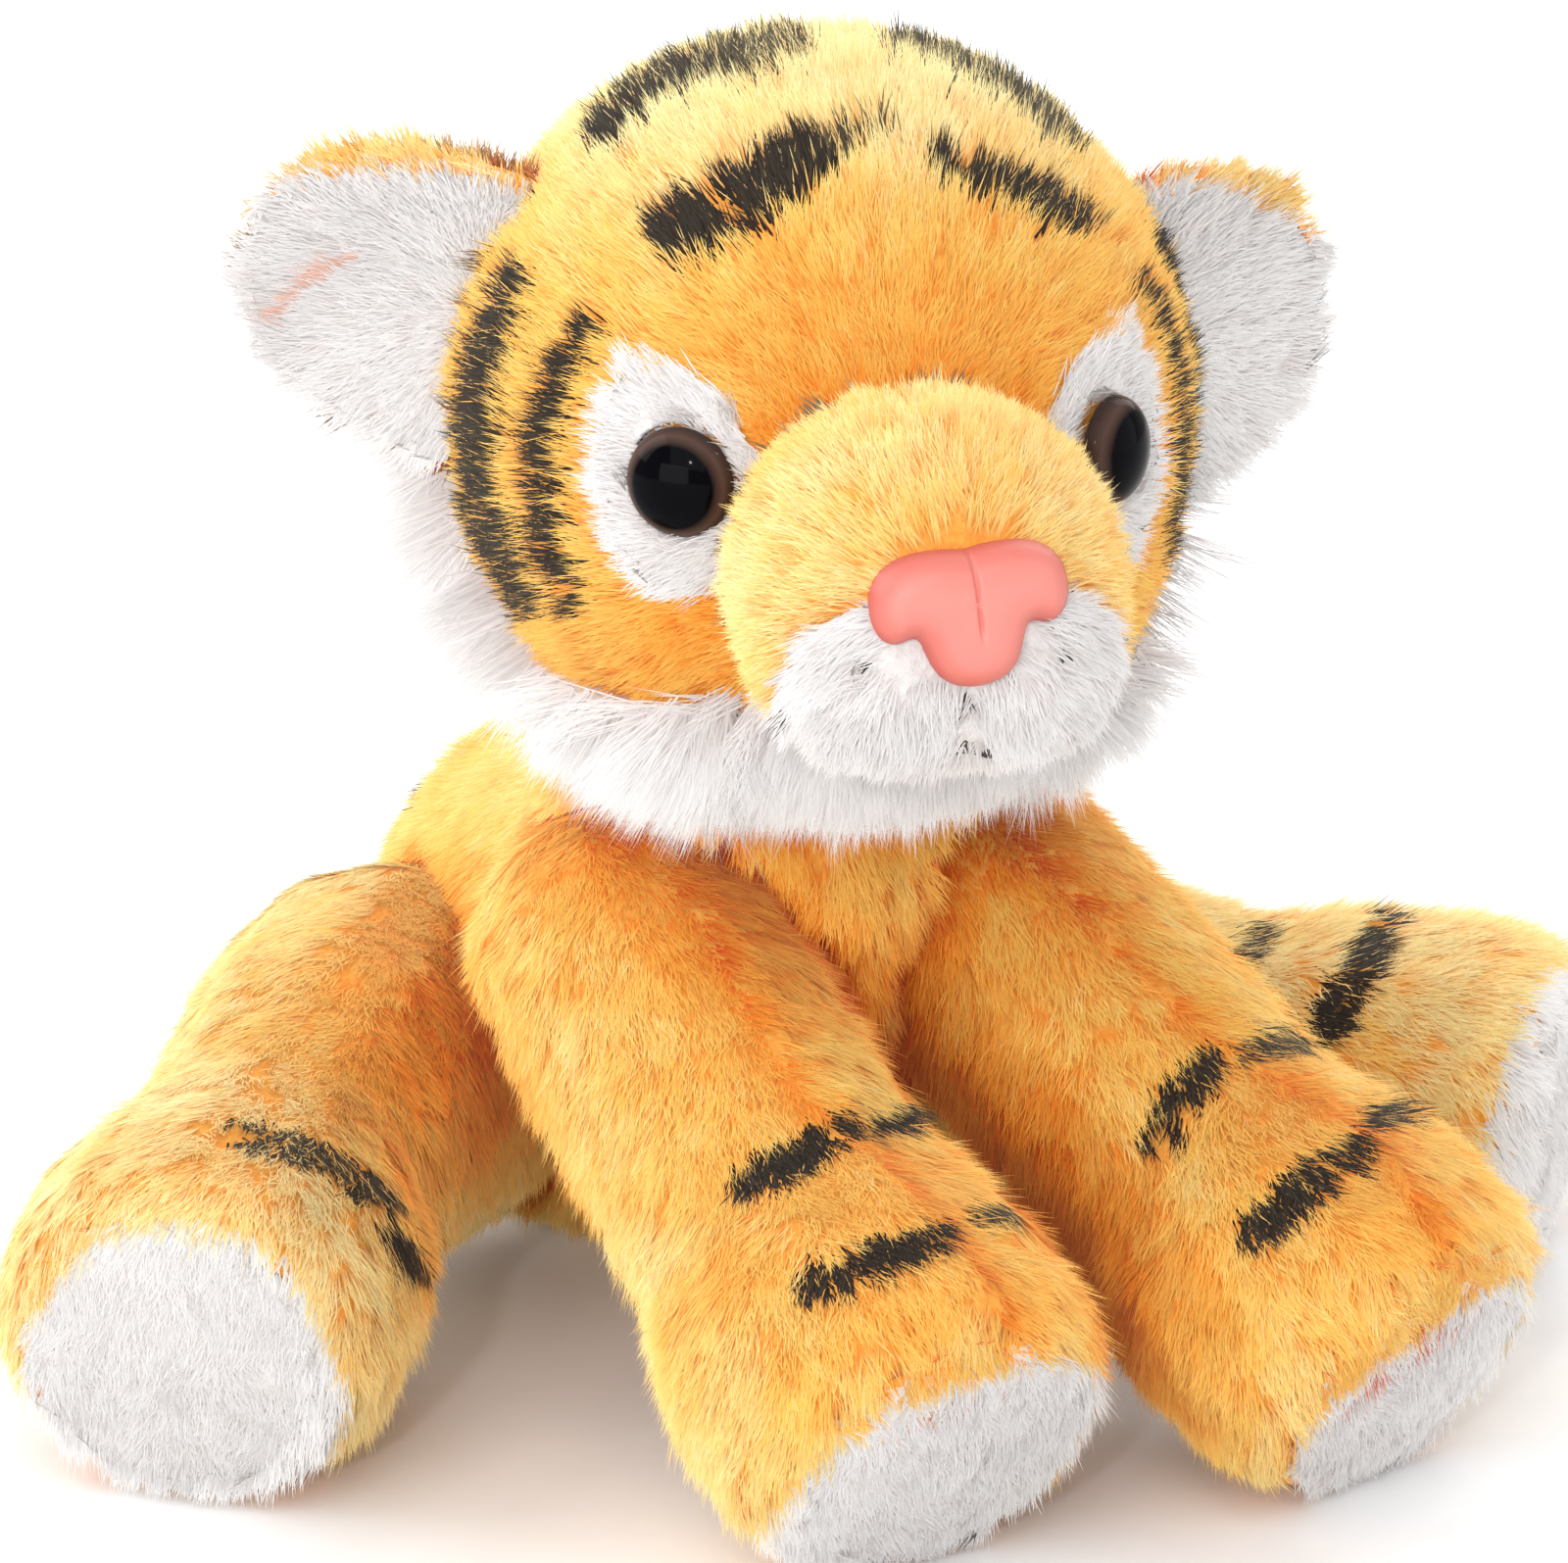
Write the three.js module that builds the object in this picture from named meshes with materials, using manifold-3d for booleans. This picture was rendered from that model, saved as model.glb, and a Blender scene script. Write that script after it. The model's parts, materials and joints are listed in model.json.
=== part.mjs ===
// A plush tiger that sits with its forelegs out in front. Millimetres, +Z up, and the toy faces -Y.
// Sewn covers are shells over separate stuffing and pellet bags.
// The limbs, the neck, the ears and the tail swing in sockets.

import * as THREE from 'three';
import { mergeVertices, toCreasedNormals } from 'three/addons/utils/BufferGeometryUtils.js';
import Module from 'manifold-3d';

const wasm = await Module();
wasm.setup();

// Cloth, gaps and the floor
const coverThickness = 1.2;
const seamGap = 0.3;
const jointGap = 0.7;
const floorCut = 0.5;

// How far a cutter runs past one piece, past the whole toy, and to each side of a stem's seat
const overrun = 60;
const wholeSpan = 240;
const stemReach = 15;

// Skull, jaw and muzzle, each an egg that melts into the next
const headWidth = 84;
const headDepth = 78;
const headHeight = 80;
const jawWidth = 68;
const jawDepth = 56;
const jawHeight = 44;
const jawAhead = 13;
const jawDrop = 17;
const muzzleWidth = 42;
const muzzleDepth = 40;
const muzzleHeight = 38;
const muzzleStand = 5.5;
const muzzleDrop = 8.5;
const padWidth = 21;
const padDepth = 21;
const padHeight = 20;
const padSpread = 16;
const padAhead = 10;
const padDrop = 8;
const faceBlend = 2.5;
const headYaw = -9.5;
const headAside = 0.8;

// Long white pile round the face
const ruffPile = 3;
const ruffInset = 18;
const bibEnd = 4;

// Eyes, nose and mouth
const eyeWidth = 12.4;
const eyeBulge = 4.2;
const eyeAzimuth = 36;
const eyeLatitude = 0;
const eyeLie = 0.45;
const eyeStem = 3;
const eyeStemLength = 7;
const eyePatchWidth = 19;
const eyePatchHeight = 26;
const eyePatchThickness = 0.8;
const washerWidth = 10;
const washerThickness = 1.4;
const stemGap = 0.3;
const noseWidth = 21.5;
const noseHeight = 16;
const noseDepth = 7.4;
const noseStem = 4;
const noseStemLength = 6;
const noseLift = 1.5;
const threadWidth = 1.2;
const mouthWidth = 7;

// Ears
const earLength = 29;
const earThickness = 3;
const earRim = 1;
const earCup = 5;
const earFold = 10;

// Neck
const neckBall = 26;
const neckTurn = 12;
const neckNodDown = 5;
const neckNodUp = 5;
const dishBlend = 0.6;

// Trunk
const seatWidth = 60;
const seatLength = 60;
const seatHeight = 66;
const seatBack = 40;
const chestWidth = 58;
const chestDepth = 50;
const chestHeight = 60;
const chestAhead = 53;
const chestRise = 30.2;
const waistWidth = 58;
const waistDepth = 52;
const waistHeight = 58;
const trunkBlend = 5;
const bellyPanelWidth = 24;
const bellyPanelBack = -5;
const seatBagHeight = 15;

// Legs
const foreRoot = 36;
const foreShank = 37;
const hindRoot = 46;
const hindShank = 37;
const foreKnee = 2;
const hindKneeRight = 12;
const hindKneeLeft = -4;
const pawWidth = 47;
const pawHeight = 42;
const soleWidth = 40;
const soleHeight = 36;
const soleBulge = 3.5;
const foreReachRight = 64;
const foreReachLeft = 67;
const hindReachRight = 77;
const hindReachLeft = 86;
const foreAzimuthRight = 9;
const foreAzimuthLeft = 22;
const hindAzimuthRight = -41.5;
const hindAzimuthLeft = 51;
const foreLift = 20;
const hindLift = 10;
const foreDrop = 4;
const hindDrop = 4;
const swingMargin = 1.5;

// Tail
const tailRoot = 20;
const tailWidth = 17;
const tailLength = 74;
const tailCurl = 26;
const tailSwing = 16;

// Places as shares of the sizes that they follow
const shoulderShares = { out: 0.75, ahead: 0.3, up: -0.2 };
const hipShares = { out: 1.03, ahead: 0.36, up: -0.07 };
const neckShares = { ahead: 0.16, up: 0.73 };
const headSeatShares = { ahead: 0.13, up: 0.925 };
const earTopShares = {
  right: { out: 0.75, back: 0.14, up: 0.66 },
  left: { out: 0.84, back: 0.14, up: 0.52 },
};
const earFootShares = {
  right: { out: 0.98, back: 0.2, up: -0.16 },
  left: { out: 0.98, back: 0.2, up: -0.44 },
};
const earTipShares = {
  right: { out: 0.93, back: 0.36, up: -0.12 },
  left: { out: 0.86, back: 0.36, up: -0.58 },
};
const kneeShares = { ahead: 0.36, up: 0.54 };
const ankleShares = { ahead: 0.7, up: 0.2 };
const tailRootShares = { back: 0.86, up: -0.5 };
const stuffingShare = 0.56;
const chinShare = 0.24;
const legSwellShares = [0.08, 0.3, 0.55, 0.74, 0.91];
const legRimShares = [0.97, 1];
const soleDomeShare = 0.62;
const earTaperShare = 0.94;
const earBulgeShare = 0.9;
const earThinShare = 0.55;
const noseStemShare = 0.25;
const tailRootEndShare = 0.05;
const tailSwellShares = [0.25, 0.5, 0.75, 0.9];
const tailTipShares = [[0.965, 0.78], [0.99, 0.45]];
const tailBendShare = 0.5;

const up = vec(0, 0, 1);
const sides = { right: -1, left: 1 };

function vec(x, y, z) {
  return new THREE.Vector3(x, y, z);
}

function radians(degrees) {
  return THREE.MathUtils.degToRad(degrees);
}

// Solids from geometries and back

function solidOf(geometry) {
  const bare = geometry.clone();
  bare.deleteAttribute('normal');
  bare.deleteAttribute('uv');
  const welded = mergeVertices(bare);
  const vertProperties = new Float32Array(welded.attributes.position.array);
  const triVerts = new Uint32Array(welded.index.array);
  return new wasm.Manifold(new wasm.Mesh({ numProp: 3, vertProperties, triVerts }));
}

function geometryOf(solid) {
  const { vertProperties, triVerts } = solid.getMesh();
  const geometry = new THREE.BufferGeometry();
  geometry.setAttribute('position', new THREE.BufferAttribute(vertProperties, 3));
  geometry.setIndex(new THREE.BufferAttribute(triVerts, 1));
  return geometry;
}

function joined(solids) {
  return solids.reduce((whole, solid) => whole.add(solid));
}

function less(solid, cutters) {
  return cutters.reduce((rest, cutter) => rest.subtract(cutter), solid);
}

// A cut can leave a crumb of cloth beside a seam, and only the largest body stays
function largest(solid) {
  return solid.decompose().reduce((most, body) => (body.volume() > most.volume() ? body : most));
}

function boxSolid(low, high) {
  const size = high.clone().sub(low);
  const middle = low.clone().add(high).divideScalar(2);
  const box = new THREE.BoxGeometry(size.x, size.y, size.z);
  box.translate(middle.x, middle.y, middle.z);
  return solidOf(box);
}

// Swelling forms

function lobe(at, wide, deep, high) {
  return { at, half: vec(wide / 2, deep / 2, high / 2) };
}

function outside(form, grow, point) {
  let sum = 0;
  for (const { at, half } of form.lobes) {
    const grown = half.clone().addScalar(grow);
    const least = Math.min(grown.x, grown.y, grown.z);
    const distance = (point.clone().sub(at).divide(grown).length() - 1) * least;
    sum += Math.exp(-distance / form.blend);
  }
  return -form.blend * Math.log(sum);
}

function surfacePoint(form, grow, direction) {
  let near = 0;
  let far = form.lobes.reduce((sum, { at, half }) => sum + at.distanceTo(form.centre) + half.length(), grow);
  const halvings = 26;
  for (let step = 0; step < halvings; step += 1) {
    const middle = (near + far) / 2;
    const point = form.centre.clone().addScaledVector(direction, middle);
    if (outside(form, grow, point) < 0) near = middle;
    else far = middle;
  }
  return form.centre.clone().addScaledVector(direction, far);
}

function formGeometry(form, grow, around, rings) {
  const geometry = new THREE.SphereGeometry(1, around, rings);
  geometry.rotateX(Math.PI / 2);
  const position = geometry.attributes.position;
  for (let i = 0; i < position.count; i += 1) {
    const direction = new THREE.Vector3().fromBufferAttribute(position, i).normalize();
    const point = surfacePoint(form, grow, direction);
    position.setXYZ(i, point.x, point.y, point.z);
  }
  return geometry;
}

function formSolid(form, grow, around, rings) {
  return solidOf(formGeometry(form, grow, around, rings));
}

// Limbs: rings along a centre line, with a round end behind the joint

function frameAt(axis, along) {
  const length = axis.getLength();
  const share = Math.min(Math.max(along / length, 0), 1);
  const tangent = axis.getTangentAt(share);
  const centre = axis.getPointAt(share).addScaledVector(tangent, along - share * length);
  const side = tangent.clone().cross(up).normalize();
  const top = side.clone().cross(tangent);
  return { centre, side, top };
}

function loftGeometry(axis, start, rings, end, around) {
  const points = [];
  for (const { along, wide, high } of rings) {
    const { centre, side, top } = frameAt(axis, along);
    for (let k = 0; k < around; k += 1) {
      const turn = (2 * Math.PI * k) / around;
      const point = centre.clone().addScaledVector(side, wide * Math.cos(turn));
      points.push(point.addScaledVector(top, high * Math.sin(turn)));
    }
  }
  const first = points.length;
  points.push(frameAt(axis, start).centre, frameAt(axis, end).centre);
  const faces = [];
  for (let k = 0; k < around; k += 1) {
    const next = (k + 1) % around;
    const last = (rings.length - 1) * around;
    faces.push(first, k, next, first + 1, last + next, last + k);
    for (let ring = 0; ring < last; ring += around) {
      faces.push(ring + k, ring + around + k, ring + around + next);
      faces.push(ring + k, ring + around + next, ring + next);
    }
  }
  const geometry = new THREE.BufferGeometry();
  geometry.setAttribute('position', new THREE.Float32BufferAttribute(points.flatMap((p) => p.toArray()), 3));
  geometry.setIndex(faces);
  return geometry;
}

function ballRings(radius) {
  const polarShares = [0.12, 0.25, 0.38];
  return polarShares.map((share) => {
    const angle = share * Math.PI;
    return { along: -radius * Math.cos(angle), wide: radius * Math.sin(angle), high: radius * Math.sin(angle) };
  });
}

function legGeometry(leg, grow, around) {
  const length = leg.axis.getLength();
  const root = leg.root / 2 + grow;
  const thigh = (leg.root + leg.shank) / 2;
  const rings = ballRings(root);
  const paw = [pawWidth, pawHeight];
  const swell = [[leg.root, leg.root], [thigh, thigh], [leg.shank, leg.shank], paw, paw];
  swell.forEach(([wide, high], i) => {
    rings.push({ along: legSwellShares[i] * length, wide: wide / 2 + grow, high: high / 2 + grow });
  });
  const rim = [[(pawWidth + soleWidth) / 2, (pawHeight + soleHeight) / 2], [soleWidth, soleHeight]];
  rim.forEach(([wide, high], i) => {
    rings.push({ along: legRimShares[i] * length + grow, wide: wide / 2 + grow, high: high / 2 + grow });
  });
  rings.push({
    along: length + grow + soleBulge * soleDomeShare,
    wide: (soleWidth / 2 + grow) * soleDomeShare,
    high: (soleHeight / 2 + grow) * soleDomeShare,
  });
  return loftGeometry(leg.axis, -root, rings, length + grow + soleBulge, around);
}

function legAxis(root, sole, knee) {
  const kneeAt = root.clone().lerp(sole, kneeShares.ahead);
  kneeAt.z = sole.z + (root.z - sole.z) * kneeShares.up + knee;
  const ankleAt = root.clone().lerp(sole, ankleShares.ahead);
  ankleAt.z = sole.z + (root.z - sole.z) * ankleShares.up;
  return new THREE.CubicBezierCurve3(root, kneeAt, ankleAt, sole);
}

// A leg that is lowered at the paw until its lowest point is floorCut under the floor
function standingLeg(name, pivot, azimuth, reach, knee, sizes) {
  const heading = vec(Math.sin(radians(azimuth)), -Math.cos(radians(azimuth)), 0);
  const sole = pivot.clone().addScaledVector(heading, reach);
  sole.z = pawHeight / 2;
  const leg = { ...sizes, name, pivot, socketShare: 0.6 };
  leg.hinge = vec(heading.y, -heading.x, 0);
  const passes = 6;
  for (let pass = 0; pass < passes; pass += 1) {
    leg.axis = legAxis(pivot, sole, knee);
    const geometry = legGeometry(leg, 0, coarse);
    geometry.computeBoundingBox();
    sole.z -= geometry.boundingBox.min.z + floorCut;
  }
  leg.axis = legAxis(pivot, sole, knee);
  return leg;
}

// How far the corners of a faceted ball stand out of the flats of one that is turned against it
function facetRoom(radius, around) {
  return radius * (1 / Math.cos(Math.PI / around) - 1);
}

// How far the flats of a faceted ball lie inside it
function facetSink(radius, around) {
  return radius * (1 - Math.cos(Math.PI / around));
}

// The room that a leg needs: its root's ball, and beyond it a cone as tall as the swing asks
function socketGeometry(leg, gap) {
  const radius = leg.root / 2 + facetRoom(leg.root / 2, legFacets) + gap;
  const reach = leg.axis.getLength() * leg.socketShare;
  const swing = radians((leg.lift + leg.drop) / 2 + swingMargin);
  const middle = radians((leg.lift - leg.drop) / 2);
  const ahead = leg.axis.getPointAt(leg.socketShare).sub(leg.pivot).normalize();
  ahead.applyAxisAngle(leg.hinge, middle);
  const line = new THREE.LineCurve3(leg.pivot, leg.pivot.clone().addScaledVector(ahead, reach));
  const rings = ballRings(radius);
  rings.push({ along: 0, wide: radius, high: radius });
  rings.push({ along: radius * Math.sin(swing), wide: radius, high: radius / Math.cos(swing) });
  rings.push({ along: reach, wide: radius, high: radius / Math.cos(swing) + reach * Math.tan(swing) });
  return loftGeometry(line, -radius, rings, reach + radius, legFacets);
}

// How finely each kind of form is faceted
const fine = 22;
const medium = 16;
const coarse = 12;
const legFacets = 12;
const ringsPer = 0.6;

function ringsFor(around) {
  return Math.round(around * ringsPer);
}

// The trunk, the neck and where everything hangs on it

const seatAt = vec(0, seatBack, seatHeight / 2 - floorCut);
const chestAt = vec(0, seatBack - chestAhead, seatAt.z + chestRise);
const waistAt = seatAt.clone().lerp(chestAt, 1 / 2);
const trunk = {
  lobes: [
    lobe(seatAt, seatWidth, seatLength, seatHeight),
    lobe(waistAt, waistWidth, waistDepth, waistHeight),
    lobe(chestAt, chestWidth, chestDepth, chestHeight),
  ],
  blend: trunkBlend,
  centre: waistAt,
};

// The trunk comes down until the lowest point of its facets is floorCut under the floor
function settle(form) {
  const geometry = formGeometry(form, 0, medium, ringsFor(medium));
  geometry.computeBoundingBox();
  const drop = geometry.boundingBox.min.z + floorCut;
  const places = new Set([form.centre, ...form.lobes.map(({ at }) => at)]);
  for (const place of places) place.z -= drop;
}

settle(trunk);
const neckPivot = vec(
  0,
  chestAt.y - neckShares.ahead * chestDepth / 2,
  chestAt.z + neckShares.up * chestHeight / 2,
);
const headAt = vec(
  headAside,
  neckPivot.y - headSeatShares.ahead * headDepth / 2,
  neckPivot.z + headSeatShares.up * headHeight / 2,
);

// Head forms, in the head's own frame with the skull's middle at zero

const skull = lobe(vec(0, 0, 0), headWidth, headDepth, headHeight);
const jaw = lobe(vec(0, -jawAhead, -jawDrop), jawWidth, jawDepth, jawHeight);
const headForm = { lobes: [skull, jaw], blend: faceBlend, centre: vec(0, 0, 0) };
const muzzleAt = vec(0, -headDepth / 2 - muzzleStand, -muzzleDrop);
const padsAt = muzzleAt.clone().add(vec(0, -padAhead, -padDrop));
const padLobes = Object.values(sides).map((side) => (
  lobe(padsAt.clone().add(vec(side * padSpread / 2, 0, 0)), padWidth, padDepth, padHeight)
));
const muzzleForm = {
  lobes: [lobe(muzzleAt, muzzleWidth, muzzleDepth, muzzleHeight), ...padLobes],
  blend: faceBlend,
  centre: muzzleAt,
};
const wholeHead = { lobes: [...headForm.lobes, ...muzzleForm.lobes], blend: faceBlend, centre: vec(0, 0, 0) };
const headOuter = formSolid(headForm, 0, fine, ringsFor(fine));
const headGrown = formSolid(headForm, seamGap, fine, ringsFor(fine));
const muzzleOuter = formSolid(muzzleForm, 0, medium, ringsFor(medium));

// Places the head's own frame in the toy's
const headGroup = new THREE.Group();
headGroup.position.copy(headAt);
headGroup.rotation.z = radians(headYaw);
headGroup.updateMatrixWorld(true);

const nodAxis = vec(Math.cos(headGroup.rotation.z), Math.sin(headGroup.rotation.z), 0);

// A ball round the neck's pivot, in the head's frame
const neckInHead = headGroup.worldToLocal(neckPivot.clone());

function ballSolid(centre, radius, around) {
  const ball = new THREE.SphereGeometry(radius, around, ringsFor(around));
  ball.translate(centre.x, centre.y, centre.z);
  return solidOf(ball);
}

const neckSocketInHead = ballSolid(neckInHead, neckBall / 2 + jointGap, coarse);

// Ears: two layers of cloth, cupped forward, that fold about the line of their base

function onHead(shares, side) {
  const direction = vec(
    side * shares.out * headWidth,
    shares.back * headDepth,
    shares.up * headHeight,
  ).normalize();
  return surfacePoint(headForm, 0, direction);
}

function earPlan(name, side) {
  const tip = earTipShares[name];
  const top = onHead(earTopShares[name], side);
  const foot = onHead(earFootShares[name], side);
  const along = foot.clone().sub(top);
  const width = along.length();
  along.normalize();
  const lean = vec(side * tip.out, tip.back, tip.up);
  lean.addScaledVector(along, -lean.dot(along)).normalize();
  const front = along.clone().cross(lean).multiplyScalar(side);
  return { root: top.clone().add(foot).divideScalar(2), along, lean, front, width, side };
}

const earTaperPower = 2.6;

// One layer between two heights over the ear's middle surface, as a grid with a rim
function earLayer(plan, low, high, grow, { columns: acrossCount, rows: lengthCount }) {
  const sheets = [low, high].map((height) => {
    const points = [];
    for (let i = 0; i <= lengthCount; i += 1) {
      const share = i / lengthCount;
      const half = (plan.width / 2) * Math.sqrt(1 - earTaperShare * share ** earTaperPower) + grow;
      for (let j = 0; j <= acrossCount; j += 1) {
        const across = (2 * j) / acrossCount - 1;
        const bulge = Math.sqrt(Math.max(1 - earBulgeShare * across ** 2, 0)) * (1 - earThinShare * share);
        const cup = earCup * across ** 2 * (1 - share / 2);
        const outer = Math.abs(height) > seamGap;
        const lift = cup + (outer ? height * bulge + Math.sign(height) * (grow + earRim) : height);
        const length = share * (earLength + 2 * grow) - grow - seamGap;
        const point = plan.root.clone().addScaledVector(plan.lean, length);
        point.addScaledVector(plan.along, across * half);
        points.push(point.addScaledVector(plan.front, lift));
      }
    }
    return points;
  });
  return gridSlab(sheets, acrossCount, lengthCount, plan.side > 0);
}

// A closed slab between two grids of points
function gridSlab([lower, upper], acrossCount, lengthCount, flip) {
  const row = acrossCount + 1;
  const count = lower.length;
  const faces = [];
  const quad = (a, b, c, d) => faces.push(...(flip ? [a, c, b, a, d, c] : [a, b, c, a, c, d]));
  for (let i = 0; i < lengthCount; i += 1) {
    for (let j = 0; j < acrossCount; j += 1) {
      const a = i * row + j;
      quad(a, a + 1, a + row + 1, a + row);
      quad(count + a, count + a + row, count + a + row + 1, count + a + 1);
    }
  }
  for (let i = 0; i < lengthCount; i += 1) {
    const a = i * row;
    const b = a + acrossCount;
    quad(a, a + row, count + a + row, count + a);
    quad(b + row, b, count + b, count + b + row);
  }
  for (let j = 0; j < acrossCount; j += 1) {
    const b = lengthCount * row + j;
    quad(j + 1, j, count + j, count + j + 1);
    quad(b, b + 1, count + b + 1, count + b);
  }
  const geometry = new THREE.BufferGeometry();
  const points = [...lower, ...upper].flatMap((p) => p.toArray());
  geometry.setAttribute('position', new THREE.Float32BufferAttribute(points, 3));
  geometry.setIndex(faces);
  return geometry;
}

// Cutting planes, prisms and turned pieces

// All the space beyond one point of a limb's centre line, square to the line
function beyond(axis, along) {
  const { centre, side, top } = frameAt(axis, along);
  const backward = side.clone().cross(top);
  const box = new THREE.BoxGeometry(wholeSpan, wholeSpan, wholeSpan);
  box.translate(0, 0, -wholeSpan / 2);
  box.applyMatrix4(new THREE.Matrix4().makeBasis(side, top, backward));
  box.translate(centre.x, centre.y, centre.z);
  return solidOf(box);
}

// A prism of a flat outline in the plane through origin that across and upward span
function prism(outline, origin, across, upward, low, high) {
  const geometry = new THREE.ExtrudeGeometry(new THREE.Shape(outline), { depth: high - low, bevelEnabled: false });
  geometry.translate(0, 0, low);
  geometry.applyMatrix4(new THREE.Matrix4().makeBasis(across, upward, across.clone().cross(upward)));
  geometry.translate(origin.x, origin.y, origin.z);
  return solidOf(geometry);
}

// An outline that runs anticlockwise, moved inward
function inset(outline, distance) {
  return outline.map((point, i) => {
    const before = outline[(i + outline.length - 1) % outline.length];
    const after = outline[(i + 1) % outline.length];
    const normals = [[before, point], [point, after]].map(([a, b]) => {
      const edge = b.clone().sub(a).normalize();
      return new THREE.Vector2(-edge.y, edge.x);
    });
    const middle = normals[0].clone().add(normals[1]).normalize();
    return point.clone().addScaledVector(middle, distance / middle.dot(normals[0]));
  });
}

function scaledOutline(shares, halfWidth, halfHeight) {
  return shares.map(([x, y]) => new THREE.Vector2(x * halfWidth, y * halfHeight));
}

function turnedSolid(profile, around, origin, direction) {
  const lathe = new THREE.LatheGeometry(profile.map(([r, h]) => new THREE.Vector2(r, h)), around);
  lathe.applyQuaternion(new THREE.Quaternion().setFromUnitVectors(vec(0, 1, 0), direction));
  lathe.translate(origin.x, origin.y, origin.z);
  return solidOf(lathe);
}

function rod(radius, low, high, around, origin, direction) {
  return turnedSolid([[0, low], [radius, low], [radius, high], [0, high]], around, origin, direction);
}

function ring(inner, outer, low, high, around, origin, direction) {
  const profile = [[inner, low], [outer, low], [outer, high], [inner, high], [inner, low]];
  return turnedSolid(profile, around, origin, direction);
}

// Ears

const earHinges = {};
const earSolids = {};
const earRooms = [];
const earFoldRoom = (earCup + earThickness) * Math.sin(radians(earFold));
const earGrid = { columns: 6, rows: 5 };
const earRoomGrid = { columns: 4, rows: 2 };
for (const [name, side] of Object.entries(sides)) {
  const plan = earPlan(name, side);
  const room = earThickness + earFoldRoom;
  const axis = plan.along.clone().multiplyScalar(side);
  earHinges[name] = { pivot: plan.root, axis };
  const deeper = { ...plan, root: plan.root.clone().addScaledVector(plan.lean, -earFoldRoom) };
  earRooms.push(solidOf(earLayer(deeper, -room, room, jointGap, earRoomGrid)));
  earSolids[name] = {
    back: solidOf(earLayer(plan, -earThickness, -seamGap / 2, 0, earGrid)),
    front: solidOf(earLayer(plan, seamGap / 2, earThickness, 0, earGrid)),
  };
}

// Ruff and bib: a band of thick pile, drawn as its outline in the side view and cut across the head

const ruffShares = [
  [-1.13, -1.5], [0.26, -1.5], [0.3, -0.86], [0.52, -0.4], [0.56, 0.08],
  [0.16, 0.08], [0.1, -0.3], [-0.15, -0.7], [-0.64, -0.68], [-1.13, -0.58],
];
const ruffOutline = scaledOutline(ruffShares, headDepth / 2, headHeight / 2);

function ruffBand(outline) {
  return prism(outline, vec(0, 0, 0), vec(0, 1, 0), up, -overrun, overrun);
}

// What the ruff has to each side of the chin, and the bib under it
function ruffSlabs(middleHalf, back, gap) {
  return {
    right: boxSolid(vec(-overrun, -overrun, -overrun), vec(-middleHalf - gap, overrun, overrun)),
    left: boxSolid(vec(middleHalf + gap, -overrun, -overrun), vec(overrun, overrun, overrun)),
    middle: boxSolid(vec(gap - middleHalf, -overrun, -overrun), vec(middleHalf - gap, back, overrun)),
  };
}

// Eyes: a direction from the middle of the skull gives the seat on the cover

const eyeSeats = {};
for (const [name, side] of Object.entries(sides)) {
  const azimuth = radians(eyeAzimuth);
  const latitude = radians(eyeLatitude);
  const direction = vec(
    side * Math.sin(azimuth) * Math.cos(latitude),
    -Math.cos(azimuth) * Math.cos(latitude),
    Math.sin(latitude),
  );
  const seat = surfacePoint(headForm, 0, direction);
  const across = up.clone().cross(direction).normalize();
  const upward = direction.clone().cross(across);
  eyeSeats[name] = { direction, seat, across, upward, side };
}

const eyeFacets = 18;
const eyeRim = 0.8;

function eyeSolid({ seat, direction }) {
  const domeSteps = 4;
  const profile = [
    [0, -eyeStemLength], [eyeStem / 2, -eyeStemLength], [eyeStem / 2, eyeLie], [eyeWidth / 2, eyeLie],
  ];
  for (let step = 0; step <= domeSteps; step += 1) {
    const angle = (step / domeSteps) * (Math.PI / 2);
    const height = eyeLie + eyeRim + (eyeBulge - eyeRim) * Math.sin(angle);
    profile.push([step < domeSteps ? (eyeWidth / 2) * Math.cos(angle) : 0, height]);
  }
  return turnedSolid(profile, eyeFacets, seat, direction);
}

const patchShares = [
  [0.69, 1.06], [0.2, 0.92], [-0.5, 0.64], [-0.92, 0.16], [-0.9, -0.38],
  [-0.52, -0.86], [0.16, -0.98], [0.82, -0.62], [1.08, 0], [1.0, 0.55],
];

function patchSolid({ seat, direction, across, upward, side }) {
  const outline = scaledOutline(patchShares, (side * eyePatchWidth) / 2, eyePatchHeight / 2);
  const column = prism(outline, seat, across, upward, -headDepth / 2, overrun);
  const sheet = formSolid(headForm, seamGap + eyePatchThickness, fine, ringsFor(fine)).subtract(headGrown);
  const socket = rod(eyeWidth / 2 + seamGap, -stemReach, overrun, eyeFacets, seat, direction);
  return less(sheet.intersect(column), [muzzleGrown, socket]);
}

// A washer lies behind the cover, as deep as the cover's curve asks
const washerFacets = 14;
const facetSag = facetSink(headWidth / 2, coarse) + facetSink(headWidth / 2, 2 * ringsFor(coarse));
const washerSag = washerWidth ** 2 / (4 * headDepth) + facetSag;
const washerDepth = coverThickness + seamGap + washerSag;

function washerSolid(stem, depth, origin, direction) {
  const inner = stem / 2 + stemGap;
  return ring(inner, washerWidth / 2, -depth - washerThickness, -depth, washerFacets, origin, direction);
}

function washerPocket(stem, stemLength, depth, origin, direction) {
  const low = -depth - washerThickness - seamGap;
  const wide = rod(washerWidth / 2 + seamGap, low, noseDepth, washerFacets, origin, direction);
  return wide.add(rod(stem / 2 + stemGap, -stemLength - stemGap, noseDepth, washerFacets, origin, direction));
}

// Head shells

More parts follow.
